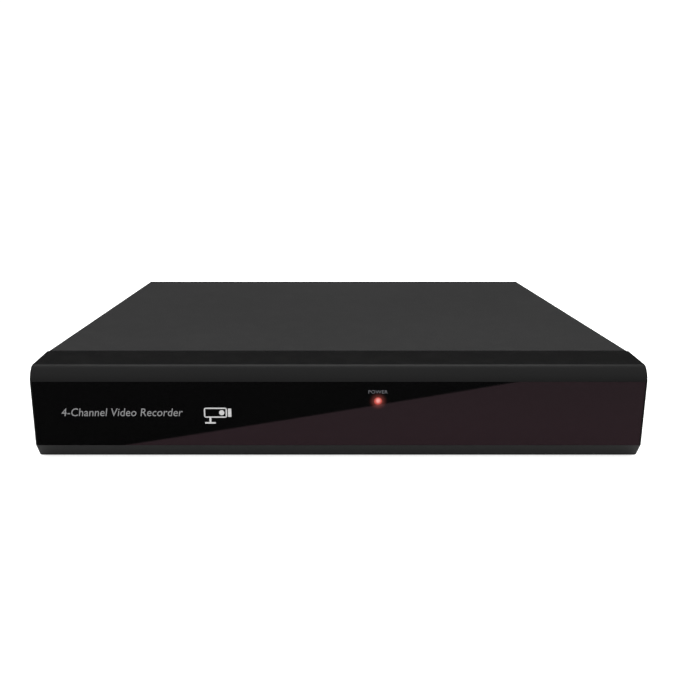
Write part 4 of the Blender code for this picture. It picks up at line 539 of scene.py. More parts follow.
memory_size = Vector((0.013, 0.008, 0.0011))
memory_places = ((0.000, 0.024), (0.000, 0.012), (-0.020, 0.030))
leg_count = 10
leg_half = 0.0002
for number, (right, behind) in enumerate(memory_places, start=1):
    low = Vector((board_middle.x + right - 0.018, board_low.y + behind, board_high.z + 0.0004))
    memory = block(f"memory_chip_{number}", low, low + memory_size)
    rounded(memory, 0.00025, segments=2)
    legs = []
    for side in (-1, 1):
        for leg in range(leg_count):
            leg_x = low.x + memory_size.x * (leg + 0.5) / leg_count
            edge_y = low.y + memory_size.y / 2 + side * memory_size.y / 2
            near_y, far_y = sorted((edge_y - side * 0.0002, edge_y + side * 0.0009))
            legs.append(block(
                "chip_leg", (leg_x - leg_half, near_y, board_high.z + 0.0001),
                (leg_x + leg_half, far_y, board_high.z + 0.0006),
            ))
    leads = joined(legs)
    leads.name = f"memory_chip_leads_{number}"
    leads.data.materials.append(nickel)
    memory.data.materials.append(chip_resin)
    smooth(memory)
    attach(memory, "recorder")
    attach(leads, "recorder")

# ------------------------------------------------------------------ video jacks
# Four bayonet jacks for camera cables: a die-cast, nickel-plated barrel with a threaded neck
# and two lugs, a nylon insulator, a gold-plated contact, and a black block on the board.
tray_low, tray_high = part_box("base_tray")
wall_y = tray_high.y
gold = surface(
    "gold_plate", ((0.72, 0.47, 0.16), (0.84, 0.58, 0.22)), (0.20, 0.32),
    (700.0, 0.00001), patch_scale=300.0, metallic=1.0,
)


def place_piece(piece, material, slot_name, *replaced, body="recorder", angle=32):
    """Gives a finished piece its material and body, and hides the nodes that it stands for.
    slot_name is not used.
    """
    piece.data.materials.clear()
    piece.data.materials.append(material)
    smooth(piece, angle)
    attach(piece, body)
    if replaced:
        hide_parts(*replaced)
    return piece


jack_low, jack_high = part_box("video_jack_1")
jack_x = (jack_low.x + jack_high.x) / 2
jack_z = jack_low.z + 0.009
jack_reach = jack_high.y - wall_y
housing_rear = wall_y - 0.0013
neck_radius = 0.0061
neck_length = 0.0034
barrel_radius = 0.0048
bore_radius = 0.00405
post_radius = 0.0023
lug_radius = 0.001
lug_reach = 0.0056
jack_place = (jack_x, wall_y, jack_z)
thread = []
thread_turns = 7
thread_pitch = 0.0009
for turn in range(thread_turns):
    level = neck_length - 0.0002 - turn * thread_pitch
    thread += [(neck_radius, level), (neck_radius - 0.0003, level - thread_pitch / 2)]
barrel_rings = [
    (bore_radius, jack_reach - 0.009), (bore_radius, jack_reach - 0.0004),
    (bore_radius + 0.0003, jack_reach), (barrel_radius - 0.0002, jack_reach),
    (barrel_radius, jack_reach - 0.0002), (barrel_radius, neck_length + 0.0004),
    (barrel_radius + 0.0004, neck_length), (neck_radius - 0.0003, neck_length),
    *thread, (neck_radius - 0.0003, -0.004), (bore_radius, -0.004),
    (bore_radius, jack_reach - 0.009),
]
barrel = turned("video_jack_barrel_1", barrel_rings, jack_place, sides=56, tube=True)
lugs = []
for side in (-1, 1):
    rings = [
        (lug_radius, side * (bore_radius + 0.0003)), (lug_radius, side * (lug_reach - 0.0003)),
        (lug_radius * 0.7, side * lug_reach),
    ]
    lug_place = (jack_x, wall_y + jack_reach - 0.0045, jack_z)
    lugs.append(turned("bayonet_lug", rings, lug_place, axis="X", sides=20))
cut_with(barrel, lugs, operation="UNION")
insulator_rings = [
    (bore_radius - 0.0001, -0.0035), (bore_radius - 0.0001, jack_reach - 0.0085),
    (post_radius + 0.0002, jack_reach - 0.0083), (post_radius, jack_reach - 0.0015),
    (post_radius - 0.0003, jack_reach - 0.0012), (0.0010, jack_reach - 0.0012),
    (0.0009, jack_reach - 0.0015), (0.0009, jack_reach - 0.005),
]
insulator = turned("video_jack_insulator_1", insulator_rings, jack_place, sides=40)
contact_rings = [
    (0.00045, jack_reach - 0.0049), (0.00045, jack_reach - 0.0017),
    (0.0006, jack_reach - 0.0015), (0.0008, jack_reach - 0.0015),
    (0.00085, jack_reach - 0.0018), (0.00085, jack_reach - 0.0049),
    (0.00045, jack_reach - 0.0049),
]
contact = turned("video_jack_contact_1", contact_rings, jack_place, sides=24, tube=True)
housing_height = 0.0146
housing = block(
    "video_jack_housing_1", jack_low, (jack_high.x, housing_rear, jack_low.z + housing_height)
)
rounded(housing, 0.0005, segments=3)
nut_low, nut_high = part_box("video_jack_nut_1")
nut_thickness = nut_high.y - nut_low.y
nut_flats = nut_high.x - nut_low.x
nut_corner = nut_flats / math.sqrt(3)
nut_place = (jack_x, nut_low.y, jack_z)


def hex_head(name, place, corner, thickness, bore, edge=0.0003):
    """A hexagonal nut or head, chamfered at both ends by a turned cone and bored through."""
    made = turned(name, [(corner, 0.0), (corner, thickness)], place, sides=6)
    cone_rings = [
        (corner - 2 * edge, 0.0), (corner + edge / 2, edge * 1.4),
        (corner + edge / 2, thickness - edge * 1.4), (corner - 2 * edge, thickness),
    ]
    cut_with(made, [turned("cone", cone_rings, place, sides=72)], operation="INTERSECT")
    bore_rings = [(bore, -0.001), (bore, thickness + 0.001)]
    cut_with(made, [turned("bore", bore_rings, place, sides=48)])
    return made


nut = hex_head("video_jack_hex_nut_1", nut_place, nut_corner, nut_thickness, neck_radius + 0.0001)
for number in (1, 2, 3, 4):
    here_low, here_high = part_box(f"video_jack_{number}")
    offset = ((here_low.x + here_high.x) / 2 - jack_x, 0, 0)
    for made, material, slot_name, replaced in (
        (barrel, nickel, "nickel", f"video_jack_{number}"),
        (insulator, ivory_nylon, "white_plastic", None),
        (contact, gold, "nickel", None),
        (housing, black_moulding, "black_plastic", None),
        (nut, nickel, "nickel", f"video_jack_nut_{number}"),
    ):
        here = copied(made, made.name.replace("_1", f"_no_{number}"), offset)
        place_piece(here, material, slot_name, *([replaced] if replaced else []))
for made in (barrel, insulator, contact, housing, nut):
    bpy.data.objects.remove(made)

# ------------------------------------------------------------------ sound jacks
# Two stacked phono jacks in one black block: a plated sleeve round a coloured insulator, white
# for the input and red for the output.
sound_low, sound_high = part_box("audio_jack_block")
sound_x = (sound_low.x + sound_high.x) / 2
sound_axes = (sound_low.z + 0.0055, sound_low.z + 0.0153)
sound_reach = sound_high.y - wall_y
sleeve_radius = 0.00415
sleeve_bore = 0.0034
red_insulator = surface(
    "red_insulator", ((0.45, 0.018, 0.014), (0.55, 0.028, 0.020)), (0.35, 0.5),
    (900.0, 0.00002), patch_scale=120.0, specular=0.45,
)
sound_block = block(
    "sound_jack_housing", sound_low, (sound_high.x, housing_rear, sound_high.z)
)
rounded(sound_block, 0.0005, segments=3)
place_piece(sound_block, black_moulding, "black_plastic", "audio_jack_block")
for number, (level, insulator_material) in enumerate(
    zip(sound_axes, (red_insulator, ivory_nylon)), start=1
):
    place = (sound_x, wall_y, level)
    sleeve_rings = [
        (sleeve_bore, -0.001), (sleeve_bore, sound_reach - 0.0003),
        (sleeve_bore + 0.0002, sound_reach), (sleeve_radius - 0.0002, sound_reach),
        (sleeve_radius, sound_reach - 0.0003), (sleeve_radius, 0.0012),
        (sleeve_radius - 0.00015, 0.001), (sleeve_radius, 0.0008), (sleeve_radius, -0.001),
        (sleeve_bore, -0.001),
    ]
    sleeve = turned(f"sound_jack_sleeve_{number}", sleeve_rings, place, tube=True)
    place_piece(sleeve, nickel, "nickel")
    core_rings = [
        (sleeve_bore - 0.00005, -0.001), (sleeve_bore - 0.00005, sound_reach - 0.0010),
        (sleeve_bore - 0.0003, sound_reach - 0.0008), (0.0019, sound_reach - 0.0008),
        (0.0017, sound_reach - 0.0010), (0.0017, sound_reach - 0.0045),
    ]
    core = turned(f"sound_jack_insulator_{number}", core_rings, place, sides=40)
    core_slot = "white_plastic" if insulator_material == ivory_nylon else "lens_red"
    place_piece(core, insulator_material, core_slot)

# ------------------------------------------------------------------ monitor socket
# A fifteen-way D-shaped socket: a blue moulding with three rows of contacts in a pressed and
# plated shell, a black block on the board, and two hexagonal jackscrews that hold the plug.
monitor_low, monitor_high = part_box("monitor_socket")
monitor_middle = Vector(((monitor_low.x + monitor_high.x) / 2, 0, monitor_low.z + 0.00625))
shell_wide, shell_high = 0.0164, 0.0084
blue_moulding = surface(
    "blue_moulding", ((0.020, 0.075, 0.30), (0.028, 0.095, 0.36)), (0.35, 0.5),
    (900.0, 0.00002), patch_scale=100.0, specular=0.45,
)


def rounded_along(piece, axis, radius, segments):
    """Rounds the edges of a piece that go along an axis, which is 0 for X and 1 for Y."""
    deselect_everything()
    bpy.context.view_layer.objects.active = piece
    bpy.ops.object.mode_set(mode="EDIT")
    select_in(piece, "edges", lambda edge: abs(
        (edge.verts[0].co - edge.verts[1].co)[axis]) > near)
    bpy.ops.mesh.bevel(offset=radius, segments=segments)
    bpy.ops.object.mode_set(mode="OBJECT")
    return piece


def d_shape(name, wide, high, rear, tip, radius):
    """A D-shaped block: a block whose lower side is narrower, with rounded long edges."""
    middle = monitor_middle
    made = block(
        name, (middle.x - wide / 2, rear, middle.z - high / 2),
        (middle.x + wide / 2, tip, middle.z + high / 2),
    )
    bpy.ops.object.mode_set(mode="EDIT")
    select_in(made, "faces", lambda face: face.normal.z < -0.9)
    bpy.ops.transform.resize(value=(0.86, 1, 1), center_override=middle)
    bpy.ops.object.mode_set(mode="OBJECT")
    return rounded_along(made, 1, radius, 5)


monitor_block = block(
    "monitor_socket_housing", monitor_low, (monitor_high.x, housing_rear, monitor_high.z)
)
rounded(monitor_block, 0.0005, segments=3)
place_piece(monitor_block, black_moulding, "black_plastic")
monitor_tip = monitor_high.y
shell = d_shape("monitor_socket_shell", shell_wide, shell_high, wall_y - 0.001, monitor_tip, 0.0021)
hollow = d_shape(
    "hollow", shell_wide - 0.0009, shell_high - 0.0009, wall_y - 0.002, monitor_tip + 0.001, 0.0018
)
cut_with(shell, [hollow])
rounded(shell, 0.0001, segments=2, angle=60)
place_piece(shell, nickel, "nickel")
insert = d_shape(
    "monitor_socket_insert", shell_wide - 0.0010, shell_high - 0.0010, wall_y - 0.001,
    monitor_tip - 0.0006, 0.0018,
)
contact_drills = []
for row in (-1, 0, 1):
    for place in range(5):
        hole_x = monitor_middle.x + (place - 2) * 0.0023 + row * 0.00057
        hole_place = (hole_x, monitor_tip, monitor_middle.z + row * 0.00198)
        rings = [(0.00055, -0.004), (0.00055, 0.001)]
        contact_drills.append(turned("contact_drill", rings, hole_place, sides=12))
cut_with(insert, contact_drills)
place_piece(insert, blue_moulding, "blue_plastic", "monitor_socket")
for number in (1, 2):
    node_name = f"monitor_jackscrew_{number}"
    low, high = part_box(node_name)
    middle_x = (low.x + high.x) / 2
    head_low = wall_y + 0.0003
    corner = 0.0048 / math.sqrt(3)
    place = (middle_x, head_low, monitor_middle.z)
    jackscrew = hex_head(
        f"monitor_hex_jackscrew_{number}", place, corner, high.y - head_low, 0.0013, 0.0002
    )
    place_piece(jackscrew, nickel, "nickel", node_name)

# ------------------------------------------------------------------ digital video socket
# A shell folded from tinned steel round a black tongue with a row of gold contacts.
tin_plate = surface(
    "tin_plate", ((0.56, 0.56, 0.55), (0.66, 0.66, 0.65)), (0.26, 0.40),
    (500.0, 0.00002), patch_scale=160.0, metallic=1.0,
)
digital_low, digital_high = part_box("digital_video_socket")
digital_middle = (digital_low + digital_high) / 2
mouth_y = digital_high.y


def socket_shell(name, low, high, mouths, corner):
    """A folded shell with rounded long edges; each mouth is a low and a high corner."""
    made = rounded_along(block(name, low, high), 1, corner, 3)
    for mouth_low, mouth_high in mouths:
        punch = block("mouth_punch", mouth_low, mouth_high)
        rounded(punch, 0.0004, segments=2)
        cut_with(made, [punch])
    rounded(made, 0.00012, segments=2, angle=60)
    return made


def contact_row(name, count, low, high):
    """A row of like contacts, side by side between two corners."""
    pitch = (high[0] - low[0]) / count
    bars = [
        block(
            "contact_bar", (low[0] + pitch * (index + 0.25), low[1], low[2]),
            (low[0] + pitch * (index + 0.75), high[1], high[2]),
        )
        for index in range(count)
    ]
    row = joined(bars)
    row.name = name
    rounded(row, 0.00004, segments=1)
    return row


opening = ((digital_middle.x - 0.0070, mouth_y - 0.0092, digital_middle.z - 0.0023),
           (digital_middle.x + 0.0070, mouth_y + 0.001, digital_middle.z + 0.0023))
digital_shell = socket_shell("digital_socket_shell", digital_low, digital_high, [opening], 0.0009)
place_piece(digital_shell, tin_plate, "tinned_steel", "digital_video_socket")
tongue = block(
    "digital_socket_tongue",
    (digital_middle.x - 0.0055, mouth_y - 0.0095, digital_middle.z - 0.0003),
    (digital_middle.x + 0.0055, mouth_y - 0.0022, digital_middle.z + 0.0009),
)
rounded(tongue, 0.0002, segments=2)
place_piece(tongue, black_moulding, "black_plastic")
pins = contact_row(
    "digital_socket_contacts", 10,
    (digital_middle.x - 0.0050, mouth_y - 0.009, digital_middle.z - 0.00042),
    (digital_middle.x + 0.0050, mouth_y - 0.0026, digital_middle.z - 0.00028),
)
place_piece(pins, gold, "nickel")

# ------------------------------------------------------------------ network socket
# An eight-way socket: a tinned shell round a black moulding, with eight gold spring contacts
# along its roof, a slot below for the plug's latch, and two small lights.
network_low, network_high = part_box("network_socket")
network_middle = (network_low + network_high) / 2
network_opening = (
    (network_middle.x - 0.0059, mouth_y - 0.0150, network_middle.z - 0.0036),
    (network_middle.x + 0.0059, mouth_y + 0.001, network_middle.z + 0.0036),
)
latch_slot = (
    (network_middle.x - 0.0031, mouth_y - 0.0150, network_middle.z - 0.0058),
    (network_middle.x + 0.0031, mouth_y + 0.001, network_middle.z - 0.0026),
)
network_shell = socket_shell(
    "network_socket_shell", network_low, network_high, [network_opening, latch_slot], 0.0004
)
place_piece(network_shell, tin_plate, "tinned_steel", "network_socket")
lining = block(
    "network_socket_lining",
    (network_opening[0][0] - near, mouth_y - 0.0149, network_opening[0][2]),
    (network_opening[1][0] + near, mouth_y - 0.0137, network_opening[1][2]),
)
rounded(lining, 0.0002, segments=1)
place_piece(lining, black_moulding, "black_plastic")
springs = contact_row(
    "network_socket_contacts", 8,
    (network_middle.x - 0.0041, mouth_y - 0.0139, network_middle.z + 0.0028),
    (network_middle.x + 0.0041, mouth_y - 0.0012, network_middle.z + 0.0032),
)
place_piece(springs, gold, "nickel")
green_light = surface(
    "green_light_guide", ((0.05, 0.30, 0.06), (0.07, 0.40, 0.09)), (0.2, 0.3),
    (600.0, 0.00001), patch_scale=300.0, specular=0.5,
)
amber_light = surface(
    "amber_light_guide", ((0.55, 0.22, 0.03), (0.65, 0.28, 0.04)), (0.2, 0.3),
    (600.0, 0.00001), patch_scale=300.0, specular=0.5,
)
for side, light_material in ((-1, green_light), (1, amber_light)):
    guide_x = network_middle.x + side * 0.0052
    guide = block(
        f"network_light_{'left' if side < 0 else 'right'}",
        (guide_x - 0.0014, mouth_y - 0.003, network_middle.z - 0.0058),
        (guide_x + 0.0014, mouth_y + 0.00015, network_middle.z - 0.0044),
    )
    rounded(guide, 0.0002, segments=2)
    place_piece(guide, light_material, "white_plastic")

# ------------------------------------------------------------------ port stack
# Two flat serial ports, one over the other, in one tinned shell. Each has an ivory tongue with
# four gold contacts on its underside.
port_low, port_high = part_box("port_stack")
port_middle = (port_low + port_high) / 2
port_rows = (port_low.z + 0.0044, port_low.z + 0.0114)
port_mouths = [
    ((port_middle.x - 0.0063, mouth_y - 0.0120, row - 0.0026),
     (port_middle.x + 0.0063, mouth_y + 0.001, row + 0.0026))
    for row in port_rows
]
port_shell = socket_shell("port_stack_shell", port_low, port_high, port_mouths, 0.0004)
place_piece(port_shell, tin_plate, "tinned_steel", "port_stack")
for number, row in enumerate(port_rows, start=1):
    tongue = block(
        f"port_tongue_{number}", (port_middle.x - 0.0056, mouth_y - 0.0122, row - 0.0002),
        (port_middle.x + 0.0056, mouth_y - 0.0030, row + 0.0017),
    )
    rounded(tongue, 0.0003, segments=2)
    place_piece(tongue, ivory_nylon, "white_plastic")
    pins = contact_row(
        f"port_contacts_{number}", 4, (port_middle.x - 0.0046, mouth_y - 0.0115, row - 0.00035),
        (port_middle.x + 0.0046, mouth_y - 0.0036, row - 0.00018),
    )
    place_piece(pins, gold, "nickel")

# ------------------------------------------------------------------ power socket
# A black moulded barrel socket with a chamfered bore, a spring sleeve and a plated centre pin.
power_low, power_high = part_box("power_socket")
power_x = (power_low.x + power_high.x) / 2
power_place = (power_x, power_high.y, power_low.z + 0.0061)
power_body = block("power_socket_body", power_low, power_high)
rounded(power_body, 0.0004, segments=3)
bore_rings = [
    (0.00315, -0.0096), (0.00315, -0.0004), (0.0037, 0.0002), (0.0037, 0.001),
]
cut_with(power_body, [turned("bore_drill", bore_rings, power_place, sides=48)])
place_piece(power_body, black_moulding, "black_plastic", "power_socket")
pin_rings = [
    (0.001, -0.0097), (0.001, -0.0012), (0.0007, -0.0008), (0.0003, -0.0007),
]
pin = turned("power_socket_pin", pin_rings, power_place, sides=24)
place_piece(pin, nickel, "nickel")
spring_rings = [
    (0.00295, -0.0095), (0.0028, -0.006), (0.00295, -0.0025), (0.0031, -0.0025),
    (0.0031, -0.0095), (0.00295, -0.0095),
]
spring = turned("power_socket_spring", spring_rings, power_place, sides=40, tube=True)
place_piece(spring, nickel, "nickel")

# ------------------------------------------------------------------ disk drive
# A 3.5-inch drive: a die-cast aluminium case and pressed lid, two polished disks, a stamped
# head arm and a plated magnet. Its board is under the case, and its screws come through the
# tray's floor.
platter = surface(
    "polished_platter", ((0.78, 0.78, 0.79), (0.82, 0.82, 0.83)), (0.05, 0.10),
    (300.0, 0.000005), patch_scale=40.0, metallic=1.0,
)
cast_aluminium = surface(
    "cast_aluminium", ((0.50, 0.51, 0.52), (0.60, 0.61, 0.62)), (0.40, 0.58),
    (650.0, 0.00008), patch_scale=90.0, metallic=1.0,
)
coat(cast_aluminium, "drive_case")
coat(aluminium, "drive_lid", "head_arm")
coat(platter, "disk_platters")
coat(nickel, "drive_magnet")

# ------------------------------------------------------------------ fan
# A small axial fan behind the right-hand vents: a moulded frame with three spokes, and a rotor
# of seven blades on a hub, both in glass-filled black nylon.
fan_nylon = surface(
    "fan_nylon", ((0.014, 0.014, 0.015), (0.026, 0.026, 0.027)), (0.45, 0.62),
    (1000.0, 0.00003), patch_scale=120.0, specular=0.4, dust=0.3,
)
coat(fan_nylon, "fan_frame", "fan_rotor")

# ------------------------------------------------------------------ cables
# The leads inside the case are clipped between their sockets: a red data lead, and black leads
# for the drive's power, the light board and the fan, each with moulded plugs.
red_sheath = surface(
    "red_cable_sheath", ((0.36, 0.020, 0.014), (0.46, 0.030, 0.020)), (0.38, 0.50),
    (800.0, 0.00004), patch_scale=140.0, specular=0.45,
)
black_sheath = surface(
    "black_cable_sheath", ((0.012, 0.012, 0.012), (0.022, 0.022, 0.022)), (0.42, 0.58),
    (800.0, 0.00004), patch_scale=140.0, specular=0.4,
)
coat(red_sheath, "data_cable")
coat(black_sheath, "drive_power_cable", "panel_cable", "fan_cable")

# ------------------------------------------------------------------ top cover
# One sheet of 0.8 mm steel folded down at both sides and lipped at the rear, with punched side
# vents and pressed seats for its screws. It is powder coated dark grey in a fine, even texture.
cover_low, cover_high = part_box("top_cover")
sheet = 0.0008
fold_radius = 0.0013
lip_height = 0.008


def even_finish(name, tones, roughness, grain, patch_scale, specular, dust, strength):
    """A finish of two close tones that glints in its fine grain. roughness is its usual, lowest
    and highest, and grain is the scale and the depth in metres of its fine bumps."""
    made, tree, shader, given = grained(
        name, roughness[0], grain, patch_scale, 0.0, specular, strength
    )
    colour = mixed_colour(tree, ranged(tree, given["Patches"], 0.3, 0.7, 0.0, 1.0), *tones)
    speck = math_node(tree, "MULTIPLY", given["Dust"], dust)
    colour = mixed_colour(tree, speck, colour, (0.3, 0.29, 0.27))
    link(tree, colour, shader.inputs["Base Color"])
    rough = ranged(tree, given["Grain"], 0.3, 0.7, *roughness[1:])
    link(tree, rough, shader.inputs["Roughness"])
    return made


powder_coat = even_finish(
    "powder_coat", ((0.0312, 0.0312, 0.0314), (0.0342, 0.0342, 0.0344)), (0.55, 0.50, 0.62),
    (1500.0, 0.00005), patch_scale=14.0, specular=0.2, dust=0.015, strength=0.35,
)
cover = block("folded_cover", cover_low, cover_high)
bpy.ops.object.mode_set(mode="EDIT")
bpy.ops.mesh.select_all(action="SELECT")
lip_bottom = cover_high.z - lip_height
bpy.ops.mesh.bisect(plane_co=(0, 0, lip_bottom), plane_no=(0, 0, 1))


def is_open_side(face):
    here = middle_of(face)
    at_front = here.y < cover_low.y + near
    underneath = here.z < cover_low.z + near
    below_lip = here.y > cover_high.y - near and here.z < lip_bottom
    return at_front or underneath or below_lip


def is_fold(edge):
    high_up = min(vertex.co.z for vertex in edge.verts) > cover_high.z - near
    at_front = max(vertex.co.y for vertex in edge.verts) < cover_low.y + near
    return high_up and not at_front


select_in(cover, "faces", is_open_side)
bpy.ops.mesh.delete(type="FACE")
select_in(cover, "edges", is_fold)
bpy.ops.mesh.bevel(offset=fold_radius, segments=5)
bpy.ops.object.mode_set(mode="OBJECT")
apply_to(cover, "SOLIDIFY", thickness=sheet, offset=-1, use_even_offset=True)

side_screws = [middle_of_node(f"side_screw_{number}") for number in (1, 2, 3, 4)]
rear_screws = [middle_of_node(f"rear_cover_screw_{number}") for number in (1, 2, 3)]
fan_low, fan_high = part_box("fan_frame")
vent_count = 13
vent_pitch = 0.0054
vent_width = 0.0026
vent_low, vent_high = 0.0185, 0.0345
first_vent = (fan_low.y + fan_high.y) / 2 - (vent_count - 1) / 2 * vent_pitch
outward = cover_high.x + sheet
inward = cover_high.x - 3 * sheet
punches = []
for side in (-1, 1):
    for index in range(vent_count):
        middle_y = first_vent + index * vent_pitch
        low_x, high_x = sorted((side * inward, side * outward))
        punch = block(
            "vent_punch", (low_x, middle_y - vent_width / 2, vent_low),
            (high_x, middle_y + vent_width / 2, vent_high),
        )
        punches.append(rounded_along(punch, 0, vent_width / 2 * 0.999, 6))
cut_with(cover, punches)
seat_depth = 0.0015
seat_radius = 0.0036
screw_hole = 0.0016
seat_lip = 0.0007
dies, seats = [], []
for place in side_screws:
    side = 1 if place.x > 0 else -1
    wall = (side * cover_high.x, place.y, place.z)
    rings = [(seat_radius + seat_lip, side * sheet), (seat_radius + seat_lip, -side * 2 * sheet)]
    dies.append(turned("seat_die", rings, wall, axis="X", sides=40))
    rim = seat_radius + seat_lip + 0.0002
    cup = (
        (rim, -0.00002), (seat_radius + 0.0003, -0.0001), (seat_radius, -0.0004),
        (seat_radius - 0.0003, -seat_depth + 0.0001), (seat_radius - 0.0005, -seat_depth),
        (screw_hole, -seat_depth), (screw_hole, -seat_depth - sheet),
        (seat_radius, -seat_depth - sheet), (seat_radius + seat_lip * 0.6, -0.001),
        (rim, -sheet + 0.00002), (rim, -0.00002),
    )
    rings = [(radius, side * depth) for radius, depth in cup]
    seats.append(turned("screw_seat", rings, wall, axis="X", sides=40, tube=True))
cut_with(cover, dies)
drills = []
for place in rear_screws:
    start = (place.x, cover_high.y, place.z)
    rings = [(screw_hole, -2 * sheet), (screw_hole, sheet)]
    drills.append(turned("screw_drill", rings, start, sides=24))
for side in (-1, 1):
    relief = side * (cover_high.x - sheet - 0.0004)
    drills.append(block(
        "corner_relief", (relief - 0.0003, cover_high.y - 2 * sheet, lip_bottom - sheet),
        (relief + 0.0003, cover_high.y + sheet, cover_high.z - fold_radius - 0.0004),
    ))
cut_with(cover, drills)
rounded(cover, 0.00012, segments=1, angle=50)
merged(cover)
cut_with(cover, seats, operation="UNION")
cover.data.materials.append(powder_coat)
smooth(cover, 28)
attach(cover, "recorder")
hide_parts("top_cover")

# ------------------------------------------------------------------ case and drive screws
# Pan-head steel screws with a cross recess and a rolled thread, zinc plated and passivated
# black. One is made at the origin with its head along +Z, and turned copies go in every hole.
black_zinc = surface(
    "black_zinc_plate", ((0.030, 0.030, 0.032), (0.050, 0.050, 0.052)), (0.28, 0.42),
    (500.0, 0.00002), patch_scale=400.0, metallic=0.7, specular=0.5,
)
head_radius = 0.0028
head_height = 0.0016
thread_radius = 0.0013
thread_root = 0.0011
thread_step = 0.0006
spin_step = 37


def pan_screw(name, shank):
    """A pan-head screw: the underside of its head is at the origin, and its shank goes down."""
    rings = [(thread_root * 0.6, -shank)]
    turns = int((shank - thread_step) / thread_step)
    for turn in range(turns):
        low = -shank + 0.0003 + turn * thread_step
        rings += [(thread_root, low), (thread_radius, low + thread_step / 2)]
    rings += [(thread_root, -0.0003), (thread_root, 0.0), (head_radius * 0.97, 0.0)]
    rings += [(head_radius, 0.0002), (head_radius * 0.98, head_height * 0.45)]
    rings += [(head_radius * 0.86, head_height * 0.75), (head_radius * 0.62, head_height * 0.94)]
    rings += [(head_radius * 0.3, head_height)]
    made = turned(name, rings, (0, 0, 0), axis="Z", sides=32)
    arm, width = 0.0016, 0.00038
    low, high = head_height * 0.40, head_height * 1.3
    for reach_x, reach_y in ((arm, width), (width, arm)):
        bar = block("cross_punch", (-reach_x, -reach_y, low), (reach_x, reach_y, high))
        bpy.ops.object.mode_set(mode="EDIT")
        select_in(bar, "faces", lambda face: face.normal.z < -0.9)
        long_x = reach_x > reach_y
        taper = (0.55 if long_x else 0.8, 0.8 if long_x else 0.55, 1)
        bpy.ops.transform.resize(value=taper, center_override=(0, 0, low))
        bpy.ops.object.mode_set(mode="OBJECT")
        cut_with(made, [bar])
    smooth(made, 40)
    made.data.materials.append(black_zinc)
    return made


short_screw = pan_screw("short_pan_screw", 0.0045)
screw_places = [(f"rear_cover_screw_{number}", Vector((0, 1, 0))) for number in (1, 2, 3)]
for number, place in enumerate(side_screws, start=1):
    screw_places.append((f"side_screw_{number}", Vector((1 if place.x > 0 else -1, 0, 0))))
screw_places += [(f"drive_screw_{number}", Vector((0, 0, -1))) for number in (1, 2, 3, 4)]
for turn_number, (node_name, outwards) in enumerate(screw_places):
    low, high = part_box(node_name)
    run = max(range(3), key=lambda index: abs(outwards[index]))
    tip = high if outwards[run] > 0 else low
    seat = (low + high) / 2
    seat[run] = tip[run] - outwards[run] * head_height
    screw = copied(short_screw, node_name.replace("screw", "pan_head_screw"), (0, 0, 0))
    spin = Matrix.Rotation(math.radians(spin_step * turn_number), 4, "Z")
    stand = outwards.to_track_quat("Z", "Y").to_matrix().to_4x4()
    screw.data.transform(Matrix.Translation(seat) @ stand @ spin)
    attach(screw, "recorder")
    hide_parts(node_name)
bpy.data.objects.remove(short_screw)

# ------------------------------------------------------------------ front panel
# One moulding in black ABS: an upright face with a shallow recess for the window, a rolled top
# edge, a chamfered bottom edge and rounded ends. Six hooks inside it snap into the tray's front
# wall, and two heat-staked posts carry the light board.
panel_low, panel_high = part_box("front_panel")
window_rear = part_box("front_window")[1].y
panel_top_fall = 0.0014
panel_rear_step = 0.0001
top_setback = 0.0041
bottom_setback = 0.0036
face_bottom = 0.0064
face_top = cover_high.z - 0.0078
roll_top = cover_high.z - panel_top_fall
roll_power = 1.5
roll_steps = 10
end_radius = 0.0009
panel_wall = 0.002
panel_rear = cover_low.y - 0.0003
satin_black = even_finish(
    "satin_black_plastic", ((0.0034, 0.0034, 0.0035), (0.0040, 0.0040, 0.0041)),
    (0.38, 0.34, 0.42), (2200.0, 0.00002), patch_scale=30.0, specular=0.36, dust=0.012, strength=0.2,
)


def roll_point(share):
    """A point of the rolled top edge, from the top of the face at 0 to its crest at 1."""
    angle = share * math.pi / 2
    back = 1 - math.cos(angle) ** (2 / roll_power)
    rise = math.sin(angle) ** (2 / roll_power)
    return Vector((
        0, panel_low.y + top_setback * back, face_top + (roll_top - face_top) * rise
    ))


panel = block("moulded_front_panel", panel_low, (panel_high.x, panel_rear, cover_high.z))
slopes = [
    (Vector((0, panel_low.y + bottom_setback, panel_low.z)), Vector((0, panel_low.y, face_bottom))),
]
roll = [roll_point(step / roll_steps) for step in range(roll_steps + 1)]
roll.append(Vector((0, panel_rear, cover_high.z - panel_rear_step)))
slopes += list(zip(roll, roll[1:]))
bpy.ops.object.mode_set(mode="EDIT")
for start, end in slopes:
    run = end - start
    outside = Vector((0, -run.z, run.y))
    bpy.ops.mesh.select_all(action="SELECT")
    bpy.ops.mesh.bisect(
        plane_co=start, plane_no=outside, use_fill=True, clear_outer=True, threshold=0.0000001
    )


def is_round_end(edge):
    first, second = (vertex.co for vertex in edge.verts)
    on_end = abs(abs(first.x) - panel_high.x) < near and abs(first.x - second.x) < near
    return on_end and min(first.y, second.y) < cover_low.y - 0.0004


select_in(panel, "edges", is_round_end)
bpy.ops.mesh.bevel(offset=end_radius, segments=5)
bpy.ops.mesh.select_all(action="SELECT")
bpy.ops.mesh.normals_make_consistent(inside=False)
bpy.ops.object.mode_set(mode="OBJECT")

